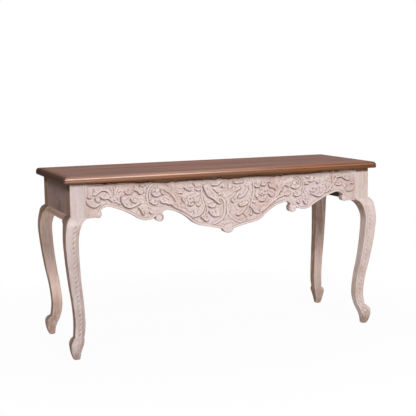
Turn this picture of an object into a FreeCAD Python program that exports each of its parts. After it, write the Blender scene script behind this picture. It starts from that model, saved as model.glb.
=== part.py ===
import FreeCAD, Part
import Sketcher
import itertools
import math
import os

# Hall table: planked top with a moulded edge, four cabriole legs with scroll feet, a scalloped apron
# carved in relief at the front, plain rails at the back and the ends. Millimetres. X runs along the
# table, Y from front to back, Z up. The origin is on the floor under the middle of the table.

doc = FreeCAD.newDocument("HallTable")

# Driving sizes
sizes = {
    # Top
    "table_length": 1500,
    "table_depth": 510,
    "table_height": 780,
    "top_thick": 30,
    "board_count": 4,
    "edge_round": 15,
    "edge_bead": 5,
    "quirk": 2.5,
    "tongue_thick": 8,
    "tongue_long": 8,
    "tongue_stop": 45,
    # Frame
    "overhang_end": 31,
    "overhang_side": 21,
    "post_width": 68,
    "joint_gap": 0.2,
    "tenon_thick": 10,
    "tenon_long": 28,
    "tenon_shoulder": 22,
    # Leg template: distance inward from the outer face of the post, at heights above the floor
    "shoulder_drop": 138,
    "knee_high": 502,
    "knee_out": -30.5,
    "knee_in": 25,
    "shin_high": 290,
    "shin_out": -6,
    "shin_in": 41.5,
    "ankle_high": 157,
    "ankle_out": 10.5,
    "ankle_in": 54.5,
    "nick_high": 92,
    "nick_out": 5,
    "toe_high": 57,
    "toe_out": -16,
    "toe_in": 34,
    "pad_out": -3.5,
    "pad_in": 24,
    # Front apron
    "apron_setback": 4,
    "apron_thick": 24,
    "apron_end_drop": 149,
    "rim_wide": 11,
    "rim_high": 5,
    "carving_high": 8,
    # End and back rails
    "rail_setback": 3,
    "rail_thick": 24,
    "rail_drop": 162,
    "flare_high": 24,
    "flare_out": 13,
    "flare_lip": 7,
    # Pieces under the top
    "brace_side": 130,
    "brace_high": 40,
    "brace_screw_wide": 6,
    "brace_screw_grip": 30,
    "brace_head_wide": 13,
    "brace_head_high": 4,
    "batten_spacing": 520,
    "batten_wide": 40,
    "batten_high": 30,
    "stub_long": 10,
    "stub_wide": 24,
    "stub_high": 16,
    "top_screw_wide": 4.5,
    "top_screw_grip": 18,
    "top_head_wide": 9,
    "top_head_high": 3,
    # Feet
    "glide_wide": 18,
    "glide_thick": 3,
    "glide_nail_wide": 3,
    "glide_nail_long": 14,
}

sheet = doc.addObject("Spreadsheet::Sheet", "Sizes")
for row, (name, value) in enumerate(sizes.items(), start=1):
    sheet.set(f"A{row}", name)
    sheet.set(f"B{row}", str(value))
    sheet.setAlias(f"B{row}", name)
doc.recompute()


def number(expression):
    """The value that an expression has with the sizes in the sheet."""
    return float(sheet.evalExpression(expression.replace("Sizes.", "")))


def between(low, high, share):
    """A value part of the way from one expression to another."""
    return f"({low} + ({high} - {low}) * {share:.4f})"


# Places that several pieces share
POST_X = "(Sizes.table_length / 2 - Sizes.overhang_end)"
POST_Y = "(Sizes.table_depth / 2 - Sizes.overhang_side)"
SPAN_X = f"({POST_X} - Sizes.post_width)"
SPAN_Y = f"({POST_Y} - Sizes.post_width)"
RAIL_TOP = "(Sizes.table_height - Sizes.top_thick)"
SHOULDER = f"({RAIL_TOP} - Sizes.shoulder_drop)"
APRON_BACK = f"({POST_Y} - Sizes.apron_setback - Sizes.carving_high - Sizes.apron_thick)"
RAIL_END = f"({POST_X} - Sizes.rail_setback - Sizes.rail_thick)"
SNUG = "Sizes.joint_gap"
APRON_TENON_HIGH = "(Sizes.apron_end_drop - 2 * Sizes.tenon_shoulder)"
RAIL_TENON_HIGH = "(Sizes.rail_drop - 2 * Sizes.tenon_shoulder)"
BOARD_WIDE = "(Sizes.table_depth / Sizes.board_count)"
DIAGONAL = round(math.sqrt(0.5), 6)
ACROSS_X = FreeCAD.Vector(1, 0, 0)
ACROSS_Y = FreeCAD.Vector(0, 1, 0)

parts = {}


def bind(obj, **expressions):
    for path, expression in expressions.items():
        obj.setExpression(path.replace("__", "."), expression)
    return obj


def place(obj, x, y, z):
    return bind(obj, Placement__Base__x=x, Placement__Base__y=y, Placement__Base__z=z)


def box(name, length, width, height, x, y, z):
    """A box from its low corner."""
    obj = doc.addObject("Part::Box", name)
    bind(obj, Length=length, Width=width, Height=height)
    return place(obj, x, y, z)


def post(name, width, height, x, y, z):
    """A square upright box from the middle of its lower face."""
    return box(name, width, width, height, f"{x} - ({width}) / 2", f"{y} - ({width}) / 2", z)


def rod(name, width, height, x, y, z):
    """An upright cylinder from the middle of its lower face."""
    obj = doc.addObject("Part::Cylinder", name)
    bind(obj, Radius=f"{width} / 2", Height=height)
    return place(obj, x, y, z)


def fuse(name, pieces):
    obj = doc.addObject("Part::MultiFuse", name)
    obj.Shapes = pieces
    return obj


def cut(name, base, tool):
    obj = doc.addObject("Part::Cut", name)
    obj.Base = base
    obj.Tool = tool
    return obj


def keep(obj, label):
    obj.Label = label
    parts[label] = obj
    return obj


def mirror(name, source, normal):
    obj = doc.addObject("Part::Mirroring", name)
    obj.Source = source
    obj.Normal = normal
    return obj


def plane(body, role):
    return next(f for f in body.Origin.OriginFeatures if f.Role == role)


def sketch_on(body, role, name, offset="0"):
    """A sketch on one of the body's own planes, moved along the plane's normal."""
    sketch = body.newObject("Sketcher::SketchObject", name)
    sketch.AttachmentSupport = [(plane(body, role), "")]
    sketch.MapMode = "FlatFace"
    sketch.setExpression("AttachmentOffset.Base.z", offset)
    return sketch


def fix_point(sketch, geometry, end, x, y):
    """Holds one point of a sketch at two expressions."""
    for kind, expression in (("DistanceX", x), ("DistanceY", y)):
        index = sketch.addConstraint(Sketcher.Constraint(kind, -1, 1, geometry, end, number(expression)))
        sketch.setExpression(f"Constraints[{index}]", expression)


def draw_loop(sketch, nodes, crowns):
    """A closed outline. Each node is a pair of expressions, and each crown is the point that the arc
    to the next node passes through, or None for a straight side."""
    count = len(nodes)
    sides = []
    for i, crown in enumerate(crowns):
        start = FreeCAD.Vector(number(nodes[i][0]), number(nodes[i][1]), 0)
        end = FreeCAD.Vector(*(number(e) for e in nodes[(i + 1) % count]), 0)
        if crown is None:
            sides.append((sketch.addGeometry(Part.LineSegment(start, end)), 1, 2))
            continue
        middle = FreeCAD.Vector(number(crown[0]), number(crown[1]), 0)
        arc = sketch.addGeometry(Part.Arc(start, middle, end))
        arc_start = sketch.getPoint(arc, 1)
        turned = arc_start.distanceToPoint(start) > arc_start.distanceToPoint(end)
        sides.append((arc, 2, 1) if turned else (arc, 1, 2))
        pin = sketch.addGeometry(Part.Point(middle), True)
        fix_point(sketch, pin, 1, *crown)
        sketch.addConstraint(Sketcher.Constraint("PointOnObject", pin, 1, arc))
    for i, (side, first, last) in enumerate(sides):
        following = sides[(i + 1) % count]
        sketch.addConstraint(Sketcher.Constraint("Coincident", side, last, following[0], following[1]))
        fix_point(sketch, side, first, *nodes[i])


def draw_rectangle(sketch, left, right, low, high):
    corners = [(left, low), (right, low), (right, high), (left, high)]
    draw_loop(sketch, corners, [None] * 4)


def pad(body, sketch, name, length):
    feature = body.newObject("PartDesign::Pad", name)
    feature.Profile = sketch
    return bind(feature, Length=length)


def pocket(body, sketch, name, length, reversed_way=False):
    """A pocket that is known to have taken material away."""
    doc.recompute()
    before = body.Shape.Volume
    feature = body.newObject("PartDesign::Pocket", name)
    feature.Profile = sketch
    feature.Reversed = reversed_way
    bind(feature, Length=length)
    doc.recompute()
    if body.Shape.Volume >= before:
        raise RuntimeError(name + " cuts nothing")
    return feature


# Cabriole leg. One S-shaped template is sawn on the front of the blank and again on its side, so the
# outer faces swing out at the knee, in at the ankle and out again at the scroll toe, in both views.
CORNER_X = f"-{POST_X}"
CORNER_Y = f"-{POST_Y}"
SAW_MARGIN = 6


def on_swing(start, end, share, fall):
    """A point between two template points: share of the height, fall of the distance inward."""
    return between(start[0], end[0], fall), between(start[1], end[1], share)


def leg_template(curve_end):
    """The template's outline, up the outer side and down the inner side. The inner side runs into the
    lower edge of a rail at curve_end."""
    sole_out = ("Sizes.pad_out", "Sizes.glide_thick")
    sole_in = ("Sizes.pad_in", "Sizes.glide_thick")
    toe_out = ("Sizes.toe_out", "Sizes.toe_high")
    toe_in = ("Sizes.toe_in", "Sizes.toe_high")
    nick = ("Sizes.nick_out", "Sizes.nick_high")
    ankle_out = ("Sizes.ankle_out", "Sizes.ankle_high")
    ankle_in = ("Sizes.ankle_in", "Sizes.ankle_high")
    shin_out = ("Sizes.shin_out", "Sizes.shin_high")
    shin_in = ("Sizes.shin_in", "Sizes.shin_high")
    knee_out = ("Sizes.knee_out", "Sizes.knee_high")
    knee_in = ("Sizes.knee_in", "Sizes.knee_high")
    shoulder = ("0", SHOULDER)
    brow = on_swing(knee_out, shoulder, 0.70, 0.27)
    post_in = ("Sizes.post_width", curve_end)
    arch = on_swing(knee_in, post_in, 0.79, 0.42)
    outline = [
        (sole_out, on_swing(sole_out, toe_out, 0.45, 0.70)),
        (toe_out, on_swing(toe_out, nick, 0.68, 0.33)),
        (nick, on_swing(nick, ankle_out, 0.50, 0.72)),
        (ankle_out, on_swing(ankle_out, shin_out, 0.50, 0.35)),
        (shin_out, on_swing(shin_out, knee_out, 0.50, 0.61)),
        (knee_out, on_swing(knee_out, shoulder, 0.37, 0.065)),
        (brow, on_swing(knee_out, shoulder, 0.885, 0.53)),
        (shoulder, None),
        (("0", RAIL_TOP), None),
        (("Sizes.post_width", RAIL_TOP), None),
        (post_in, on_swing(knee_in, post_in, 0.93, 0.67)),
        (arch, on_swing(knee_in, post_in, 0.45, 0.125)),
        (knee_in, on_swing(knee_in, shin_in, 0.50, 0.33)),
        (shin_in, on_swing(shin_in, ankle_in, 0.50, 0.65)),
        (ankle_in, on_swing(ankle_in, toe_in, 0.55, 0.30)),
        (toe_in, on_swing(toe_in, sole_in, 0.50, 0.75)),
        (sole_in, None),
    ]
    return [node for node, crown in outline], [crown for node, crown in outline]


def saw_cut(name, role, curve_end, plane_offset):
    """The template carried right through the blank from one face."""
    body = doc.addObject("PartDesign::Body", name)
    place(body, CORNER_X, CORNER_Y, "0")
    sketch = sketch_on(body, role, name + "Template", plane_offset)
    draw_loop(sketch, *leg_template(curve_end))
    pad(body, sketch, name + "Through", f"Sizes.post_width - Sizes.knee_out + 2 * {SAW_MARGIN}")
    return body


APRON_LOW = f"({RAIL_TOP} - Sizes.apron_end_drop)"
RAIL_LOW = f"({RAIL_TOP} - Sizes.rail_drop)"
front_saw = saw_cut("FrontSaw", "XZ_Plane", APRON_LOW, f"-(Sizes.post_width + {SAW_MARGIN})")
side_saw = saw_cut("SideSaw", "YZ_Plane", RAIL_LOW, f"Sizes.knee_out - {SAW_MARGIN}")
leg_blank = doc.addObject("Part::MultiCommon", "LegBlank")
leg_blank.Shapes = [front_saw, side_saw]

# Blind mortises for the apron, or the back rail, and for the end rail, and the holes for the brace
# screw in the inner corner of the post and for the nail of the glide in the sole
APRON_TENON_Y = f"({POST_Y} - Sizes.apron_setback - Sizes.carving_high - Sizes.apron_thick / 2)"
RAIL_TENON_X = f"({POST_X} - Sizes.rail_setback - Sizes.rail_thick / 2)"
TENON_TOP = f"({RAIL_TOP} - Sizes.tenon_shoulder)"
TENON_ROOM = f"(Sizes.tenon_thick + 2 * {SNUG})"
BRACE_MIDDLE = f"({RAIL_TOP} - Sizes.brace_high / 2)"
PAD_X = f"({POST_X} - (Sizes.pad_out + Sizes.pad_in) / 2)"
PAD_Y = f"({POST_Y} - (Sizes.pad_out + Sizes.pad_in) / 2)"


def brace_rod(name, width, start, length):
    """A rod level and square to the brace, from a distance beyond the inner corner of the post."""
    obj = doc.addObject("Part::Cylinder", name)
    bind(obj, Radius=f"{width} / 2", Height=length)
    inward = f"({start}) * {DIAGONAL}"
    place(obj, f"-({SPAN_X} - {inward})", f"-({SPAN_Y} - {inward})", BRACE_MIDDLE)
    obj.Placement.Rotation = FreeCAD.Rotation(FreeCAD.Vector(0, 0, 1), FreeCAD.Vector(-1, -1, 0))
    return obj


apron_mortise = box(
    "ApronMortise", f"Sizes.tenon_long + {SNUG}", TENON_ROOM, f"{APRON_TENON_HIGH} + 2 * {SNUG}",
    f"-({SPAN_X} + Sizes.tenon_long + {SNUG})", f"-({APRON_TENON_Y} + {TENON_ROOM} / 2)",
    f"{TENON_TOP} - {APRON_TENON_HIGH} - {SNUG}")
rail_mortise = box(
    "RailMortise", TENON_ROOM, f"Sizes.tenon_long + {SNUG}", f"{RAIL_TENON_HIGH} + 2 * {SNUG}",
    f"-({RAIL_TENON_X} + {TENON_ROOM} / 2)", f"-({SPAN_Y} + Sizes.tenon_long + {SNUG})",
    f"{TENON_TOP} - {RAIL_TENON_HIGH} - {SNUG}")
screw_hole = brace_rod(
    "BraceScrewHole", f"Sizes.brace_screw_wide + 2 * {SNUG}", "Sizes.brace_screw_wide",
    f"Sizes.brace_screw_wide + Sizes.brace_screw_grip + {SNUG}")
nail_hole = post("GlideNailHole", f"Sizes.glide_nail_wide + 2 * {SNUG}", f"Sizes.glide_nail_long + {SNUG}",
                 f"-{PAD_X}", f"-{PAD_Y}", "Sizes.glide_thick")
leg_holes = fuse("LegHoles", [apron_mortise, rail_mortise, screw_hole, nail_hole])



def keep_at_corners(base, label, front_left):
    """A piece at the front left corner and its mirror images at the other three."""
    front_right = mirror(base + "FrontRight", front_left, ACROSS_X)
    keep(front_left, label + "_front_left")
    keep(front_right, label + "_front_right")
    keep(mirror(base + "BackLeft", front_left, ACROSS_Y), label + "_back_left")
    keep(mirror(base + "BackRight", front_right, ACROSS_Y), label + "_back_right")


keep_at_corners("Leg", "leg", cut("LegFrontLeft", leg_blank, leg_holes))

# Top: boards joined edge to edge with stopped tongues, then moulded all round as one slab. The edge
# is a large quarter round over a thin sunk line and a smaller bead.
slab = doc.addObject("PartDesign::Body", "TopSlab")
place(slab, "0", "0", RAIL_TOP)
HALF_LENGTH = "Sizes.table_length / 2"
HALF_DEPTH = "Sizes.table_depth / 2"
slab_outline = sketch_on(slab, "XY_Plane", "SlabOutline")
draw_rectangle(slab_outline, f"-{HALF_LENGTH}", HALF_LENGTH, f"-{HALF_DEPTH}", HALF_DEPTH)
slab_pad = pad(slab, slab_outline, "SlabPad", "Sizes.top_thick")
doc.recompute()


def level_edges(feature, height):
    """Names of the edges that lie level at a height above the body's own plane."""
    base = feature.Shape
    names = []
    for index, edge in enumerate(base.Edges, start=1):
        if all(abs(v.Point.z - height) < 1e-6 for v in edge.Vertexes):
            names.append(f"Edge{index}")
    return names


def round_edges(body, feature, name, height, radius):
    rounded = body.newObject("PartDesign::Fillet", name)
    rounded.Base = (feature, level_edges(feature, height))
    bind(rounded, Radius=radius)
    doc.recompute()
    return rounded


upper_round = round_edges(slab, slab_pad, "UpperRound", number("Sizes.top_thick"), "Sizes.edge_round")
lower_bead = round_edges(slab, upper_round, "LowerBead", 0, "Sizes.edge_bead")
line_outline = sketch_on(slab, "XY_Plane", "SunkLineOutline",
                         "Sizes.top_thick - Sizes.edge_round - Sizes.quirk")
draw_rectangle(line_outline, f"-{HALF_LENGTH} - Sizes.quirk", f"{HALF_LENGTH} + Sizes.quirk",
               f"-{HALF_DEPTH} - Sizes.quirk", f"{HALF_DEPTH} + Sizes.quirk")
draw_rectangle(line_outline, f"-{HALF_LENGTH} + Sizes.quirk", f"{HALF_LENGTH} - Sizes.quirk",
               f"-{HALF_DEPTH} + Sizes.quirk", f"{HALF_DEPTH} - Sizes.quirk")
pocket(slab, line_outline, "SunkLine", "Sizes.quirk")

# Screws that hold the top: one through each corner brace, placed by shares of the brace's side, and two
# through each batten, into the middles of the inner boards
SHARE_ALONG = 0.73
SHARE_IN = 0.14
BRACE_SCREW_X = f"({RAIL_END} - {SHARE_ALONG} * Sizes.brace_side)"
BRACE_SCREW_Y = f"({APRON_BACK} - {SHARE_IN} * Sizes.brace_side)"
BATTEN_X = "(Sizes.batten_spacing / 2)"
BATTEN_SCREW_Y = f"({BOARD_WIDE} / 2)"
top_screw_places = []
for x_side in ("-", ""):
    for y_side in ("-", ""):
        top_screw_places.append((x_side + BRACE_SCREW_X, y_side + BRACE_SCREW_Y, "Sizes.brace_high"))
        top_screw_places.append((x_side + BATTEN_X, y_side + BATTEN_SCREW_Y, "Sizes.batten_high"))


def top_screw(index, x, y, grip):
    shank = rod(f"TopScrewShank{index}", "Sizes.top_screw_wide", f"{grip} + Sizes.top_screw_grip",
                x, y, f"{RAIL_TOP} - {grip}")
    head = rod(f"TopScrewHead{index}", "Sizes.top_head_wide", "Sizes.top_head_high",
               x, y, f"{RAIL_TOP} - {grip} - Sizes.top_head_high")
    return fuse(f"TopScrew{index}", [shank, head])


def top_screw_hole(index, x, y, grip):
    """Clearance hole through what the screw passes and up into the top."""
    return rod(f"TopScrewHole{index}", f"Sizes.top_screw_wide + 2 * {SNUG}",
               f"{grip} + Sizes.top_screw_grip + {SNUG}", x, y, f"{RAIL_TOP} - {grip}")


top_screws = doc.addObject("Part::Compound", "TopScrews")
top_screws.Links = [top_screw(i, *spot) for i, spot in enumerate(top_screw_places)]
keep(top_screws, "top_screws")
screw_holes = fuse("TopScrewHoles",
                   [top_screw_hole(i, *spot) for i, spot in enumerate(top_screw_places)])

TONGUE_LENGTH = "(Sizes.table_length - 2 * Sizes.tongue_stop)"
board_count = int(number("Sizes.board_count"))


def tongue(name, seam, spare):
    """The tongue behind a seam, or with spare room the groove that takes it."""
    return box(name, f"{TONGUE_LENGTH} + 2 * {spare}", f"Sizes.tongue_long + {spare}",
               f"Sizes.tongue_thick + 2 * {spare}", f"-{TONGUE_LENGTH} / 2 - {spare}", seam,
               f"{RAIL_TOP} + (Sizes.top_thick - Sizes.tongue_thick) / 2 - {spare}")


for i in range(board_count):
    front_seam = f"-{HALF_DEPTH} + {i} * {BOARD_WIDE}"
    back_seam = f"-{HALF_DEPTH} + {i + 1} * {BOARD_WIDE}"
    room = [box(f"BoardStrip{i}", "Sizes.table_length", BOARD_WIDE, "Sizes.top_thick",
                f"-{HALF_LENGTH}", front_seam, RAIL_TOP)]
    if i < board_count - 1:
        room.append(tongue(f"Tongue{i}", back_seam, "0"))
    board = doc.addObject("Part::Common", f"BoardBlank{i}")
    board.Base = slab
    board.Tool = fuse(f"BoardRoom{i}", room) if len(room) > 1 else room[0]
    waste = [screw_holes]
    if i > 0:
        waste.append(tongue(f"Groove{i}", front_seam, SNUG))
    keep(cut(f"Board{i}", board, fuse(f"BoardWaste{i}", waste) if len(waste) > 1 else screw_holes),
         f"top_board_{i + 1}")

# Front apron: one board with a scalloped lower edge, a pendant in the middle and two drop scrolls on
# each side, its carving raised from a sunk ground. Half is drawn, and the other half mirrors it.
# Points are (distance from the middle, drop below the top edge) as drawn for DRAWN_SPAN.
DRAWN_SPAN = 651
# Lower edge: node, crown of the arc to the next node, and whether that run carries a raised rim
LOWER_EDGE = [
    ((0, 259), (16, 253), "plain"),
    ((27, 239), (70, 228), "rim"),
    ((118, 218), (154, 207), "rim"),
    ((182, 186), (230, 154), "rim"),
    ((287, 135), (302, 139), "plain"),
    ((312, 149), (325, 185), "plain"),
    ((345, 163), (378, 175), "rim"),
    ((422, 163), (482, 130), "rim"),
    ((550, 105), (572, 109), "rim"),
    ((587, 121), (584, 143), "plain"),
    ((606, 149), None, "plain"),
]
# Carved crescents: two tips, the crown of the outer curve and the crown of the inner curve
CRESCENTS = [
    ((646, 60), (569, 93), (606, 114), (608, 100)),
    ((491, 60), (412, 104), (458, 123), (454, 107)),
    ((346, 26), (370, 114), (386, 72), (371, 69)),
    ((363, 62), (316, 74), (340, 84), (339, 72)),
    ((366, 100), (320, 105), (344, 117), (344, 105)),
    ((300, 62), (246, 108), (284, 78), (270, 90)),
    ((214, 140), (126, 166), (168, 180), (170, 165)),
    ((14, 98), (84, 214), (12, 164), (32, 162)),
    ((112, 64), (40, 126), (88, 100), (98, 86)),
]
# Scroll eyes: centre and radius, each pared round with so many flats
EYE_FLATS_COUNT = 12
EYES = [((593, 80), 12), ((452, 82), 15), ((324, 46), 20), ((64, 172), 13)]
# Flower: pointed petals round an eye, each by the distances of its root, sides and tip from the centre
FLOWER = (172, 92)
FLOWER_EYE = (FLOWER, 7)
PETAL = (9, 22, 33)
PETAL_SPREAD = 25
PETAL_COUNT = 5
# Palmette: pointed leaves fanned out on each side of the middle
PALMETTE = (0, 84)
PALMETTE_LEAF = (24, 44, 60)
LEAF_SPREAD = 11
LEAF_STEP = 30
LEAF_COUNT = 2


def along(x):
    """A distance from the middle, stretched with the space between the posts."""
    return f"({x} / {DRAWN_SPAN} * {SPAN_X})"


def apron_point(point):
    return along(point[0]), f"({RAIL_TOP} - {point[1]})"


def on_ray(centre, distance, degrees):
    """A point at a distance from a centre, turned from straight up."""
    turn = math.radians(degrees)
    x, z = apron_point(centre)
    return f"({x} + {distance * math.sin(turn):.2f})", f"({z} + {distance * math.cos(turn):.2f})"


def draw_eye(sketch, centre, radius):
    turns = [360 / EYE_FLATS_COUNT * flat for flat in range(EYE_FLATS_COUNT)]
    draw_loop(sketch, [on_ray(centre, radius, turn) for turn in turns], [None] * EYE_FLATS_COUNT)


def draw_leaf(sketch, centre, distances, degrees, spread):
    root, sides, tip = distances
    rays = [(root, degrees), (sides, degrees + spread), (tip, degrees), (sides, degrees - spread)]
    draw_loop(sketch, [on_ray(centre, *ray) for ray in rays], [None] * len(rays))


apron = doc.addObject("PartDesign::Body", "FrontApron")
place(apron, "0", f"-{APRON_BACK}", "0")
edge_nodes = [apron_point(node) for node, crown, carries in LOWER_EDGE]
edge_crowns = [crown and apron_point(crown) for node, crown, carries in LOWER_EDGE]
end_low = (SPAN_X, f"({RAIL_TOP} - Sizes.apron_end_drop)")
apron_outline = sketch_on(apron, "XZ_Plane", "ApronOutline")
draw_loop(apron_outline, edge_nodes + [end_low, (SPAN_X, RAIL_TOP), ("0", RAIL_TOP)],
          edge_crowns + [None, None, None])
apron_pad = pad(apron, apron_outline, "ApronBoard", "Sizes.apron_thick")

tenon_outline = sketch_on(apron, "XZ_Plane", "ApronTenonOutline",
                          "(Sizes.apron_thick - Sizes.tenon_thick) / 2")
draw_rectangle(tenon_outline, SPAN_X, f"{SPAN_X} + Sizes.tenon_long",
               f"{TENON_TOP} - {APRON_TENON_HIGH}", TENON_TOP)
tenon_pad = pad(apron, tenon_outline, "ApronTenon", "Sizes.tenon_thick")

rim_outline = sketch_on(apron, "XZ_Plane", "RimOutline", "Sizes.apron_thick")
edge_runs = itertools.groupby(range(len(LOWER_EDGE)), key=lambda run: LOWER_EDGE[run][2])
for members in [list(group) for carries, group in edge_runs if carries == "rim"]:
    low = [edge_nodes[run] for run in members] + [edge_nodes[members[-1] + 1]]
    low_crowns = [edge_crowns[run] for run in members]
    high = [(x, f"({z} + Sizes.rim_wide)") for x, z in reversed(low)]
    high_crowns = [(x, f"({z} + Sizes.rim_wide)") for x, z in reversed(low_crowns)]
    draw_loop(rim_outline, low + high, low_crowns + [None] + high_crowns + [None])
rim_pad = pad(apron, rim_outline, "Rim", "Sizes.rim_high")

carving_outline = sketch_on(apron, "XZ_Plane", "CarvingOutline", "Sizes.apron_thick")
for tip, other_tip, outer, inner in CRESCENTS:
    draw_loop(carving_outline, [apron_point(tip), apron_point(other_tip)],
              [apron_point(outer), apron_point(inner)])
for centre, radius in EYES + [FLOWER_EYE]:
    draw_eye(carving_outline, centre, radius)
for petal in range(PETAL_COUNT):
    draw_leaf(carving_outline, FLOWER, PETAL, 360 / PETAL_COUNT * petal, PETAL_SPREAD)
for leaf in range(1, LEAF_COUNT + 1):
    draw_leaf(carving_outline, PALMETTE, PALMETTE_LEAF, LEAF_STEP * leaf, LEAF_SPREAD)
carving_pad = pad(apron, carving_outline, "Carving", "Sizes.carving_high")


def stub_pocket(body, name):
    """Blind housing in the inner face of a long rail for the stub of a batten."""
    outline = sketch_on(body, "XZ_Plane", name + "Outline")
    middle = f"({RAIL_TOP} - Sizes.batten_high / 2)"
    half_wide = f"(Sizes.stub_wide / 2 + {SNUG})"
    half_high = f"(Sizes.stub_high / 2 + {SNUG})"
    draw_rectangle(outline, f"{BATTEN_X} - {half_wide}", f"{BATTEN_X} + {half_wide}",
                   f"{middle} - {half_high}", f"{middle} + {half_high}")
    return pocket(body, outline, name, f"Sizes.stub_long + {SNUG}", True)


def mirror_half(body, features):
    """The other half of a body that was drawn from its middle to one end."""
    other = body.newObject("PartDesign::Mirrored", body.Name + "Whole")
    other.Originals = features
    other.MirrorPlane = (plane(body, "YZ_Plane"), [""])
    body.Tip = other


apron_housing = stub_pocket(apron, "ApronHousing")
mirror_half(apron, [apron_pad, tenon_pad, rim_pad, carving_pad, apron_housing])
keep(apron, "front_apron")

# Back rail: a plain board as far in from the posts as the apron's ground, with the same tenons
back_rail = doc.addObject("PartDesign::Body", "BackRail")
place(back_rail, "0", APRON_BACK, "0")
back_rail.Placement.Rotation = FreeCAD.Rotation(FreeCAD.Vector(0, 0, 1), 180)
back_outline = sketch_on(back_rail, "XZ_Plane", "BackOutline")
draw_rectangle(back_outline, "0", SPAN_X, APRON_LOW, RAIL_TOP)
back_pad = pad(back_rail, back_outline, "BackBoard", "Sizes.apron_thick")
back_tenon_outline = sketch_on(back_rail, "XZ_Plane", "BackTenonOutline",
                               "(Sizes.apron_thick - Sizes.tenon_thick) / 2")
draw_rectangle(back_tenon_outline, SPAN_X, f"{SPAN_X} + Sizes.tenon_long",
               f"{TENON_TOP} - {APRON_TENON_HIGH}", TENON_TOP)
back_tenon = pad(back_rail, back_tenon_outline, "BackTenon", "Sizes.tenon_thick")
back_housing = stub_pocket(back_rail, "BackHousing")
mirror_half(back_rail, [back_pad, back_tenon, back_housing])
keep(back_rail, "back_rail")

# End rails: plain boards close to the face of the posts, tenoned into the front and back legs
end_board = box("EndBoard", "Sizes.rail_thick", f"2 * {SPAN_Y}", "Sizes.rail_drop",
                f"-({RAIL_END} + Sizes.rail_thick)", f"-{SPAN_Y}", RAIL_LOW)
end_tenon = box("EndTenon", "Sizes.tenon_thick", f"2 * ({SPAN_Y} + Sizes.tenon_long)", RAIL_TENON_HIGH,
                f"-({RAIL_TENON_X} + Sizes.tenon_thick / 2)", f"-({SPAN_Y} + Sizes.tenon_long)",
                f"{TENON_TOP} - {RAIL_TENON_HIGH}")
end_rail = keep(fuse("EndRail", [end_board, end_tenon]), "end_rail_left")
keep(mirror("EndRailRight", end_rail, ACROSS_X), "end_rail_right")

# Flared mouldings along the foot of the end rails, from knee to knee: a hollow over a lip
HOLLOW_OUT = 0.36
HOLLOW_HIGH = 0.44
flare = doc.addObject("PartDesign::Body", "EndFlare")
place(flare, f"-({RAIL_END} + Sizes.rail_thick)", SPAN_Y, RAIL_LOW)
flare_outline = sketch_on(flare, "XZ_Plane", "FlareOutline")
draw_loop(flare_outline,
          [("0", "0"), ("0", "Sizes.flare_high"), ("-Sizes.flare_out", "Sizes.flare_lip"),
           ("-Sizes.flare_out", "0")],
          [None, (f"-{HOLLOW_OUT} * Sizes.flare_out",
                  between("Sizes.flare_lip", "Sizes.flare_high", HOLLOW_HIGH)), None, None])
pad(flare, flare_outline, "FlareRun", f"2 * {SPAN_Y}")
keep(flare, "end_flare_left")
keep(mirror("EndFlareRight", flare, ACROSS_X), "end_flare_right")

# Corner braces: blocks across the inside corners, notched round the posts
brace = doc.addObject("PartDesign::Body", "Brace")
place(brace, "0", "0", f"{RAIL_TOP} - Sizes.brace_high")
brace_outline = sketch_on(brace, "XY_Plane", "BraceOutline")
NOTCH_X = f"-({SPAN_X} - {SNUG})"
NOTCH_Y = f"-({SPAN_Y} - {SNUG})"
brace_corners = [
    (NOTCH_X, f"-{APRON_BACK}"),
    (f"-({RAIL_END} - Sizes.brace_side)", f"-{APRON_BACK}"),
    (f"-{RAIL_END}", f"-({APRON_BACK} - Sizes.brace_side)"),
    (f"-{RAIL_END}", NOTCH_Y),
    (NOTCH_X, NOTCH_Y),
]
draw_loop(brace_outline, brace_corners, [None] * len(brace_corners))
pad(brace, brace_outline, "BraceBlock", "Sizes.brace_high")

# Brace screws: square to the long face of each brace, through it and into the corner of the post
BRACE_FACE = f"(({SPAN_X} + {SPAN_Y} - {RAIL_END} - {APRON_BACK} + Sizes.brace_side) * {DIAGONAL})"
brace_bore = brace_rod(
    "BraceBore", f"Sizes.brace_screw_wide + 2 * {SNUG}", f"{BRACE_FACE} + Sizes.brace_screw_wide",
    f"{BRACE_FACE} + 2 * Sizes.brace_screw_wide")
bored_brace = cut("BoredBrace", brace, fuse("BraceBores", [brace_bore, screw_holes]))
keep_at_corners("Brace", "corner_brace", bored_brace)

brace_screw = fuse("BraceScrew", [
    brace_rod("BraceShank", "Sizes.brace_screw_wide", BRACE_FACE,
              f"{BRACE_FACE} + Sizes.brace_screw_grip"),
    brace_rod("BraceHead", "Sizes.brace_head_wide", f"{BRACE_FACE} + Sizes.brace_head_high",
              "Sizes.brace_head_high"),
])
screw_right = mirror("BraceScrewRight", brace_screw, ACROSS_X)
brace_screws = doc.addObject("Part::Compound", "BraceScrews")
brace_screws.Links = [
    brace_screw,
    screw_right,
    mirror("BraceScrewBackLeft", brace_screw, ACROSS_Y),
    mirror("BraceScrewBackRight", screw_right, ACROSS_Y),
]
keep(brace_screws, "brace_screws")

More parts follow.
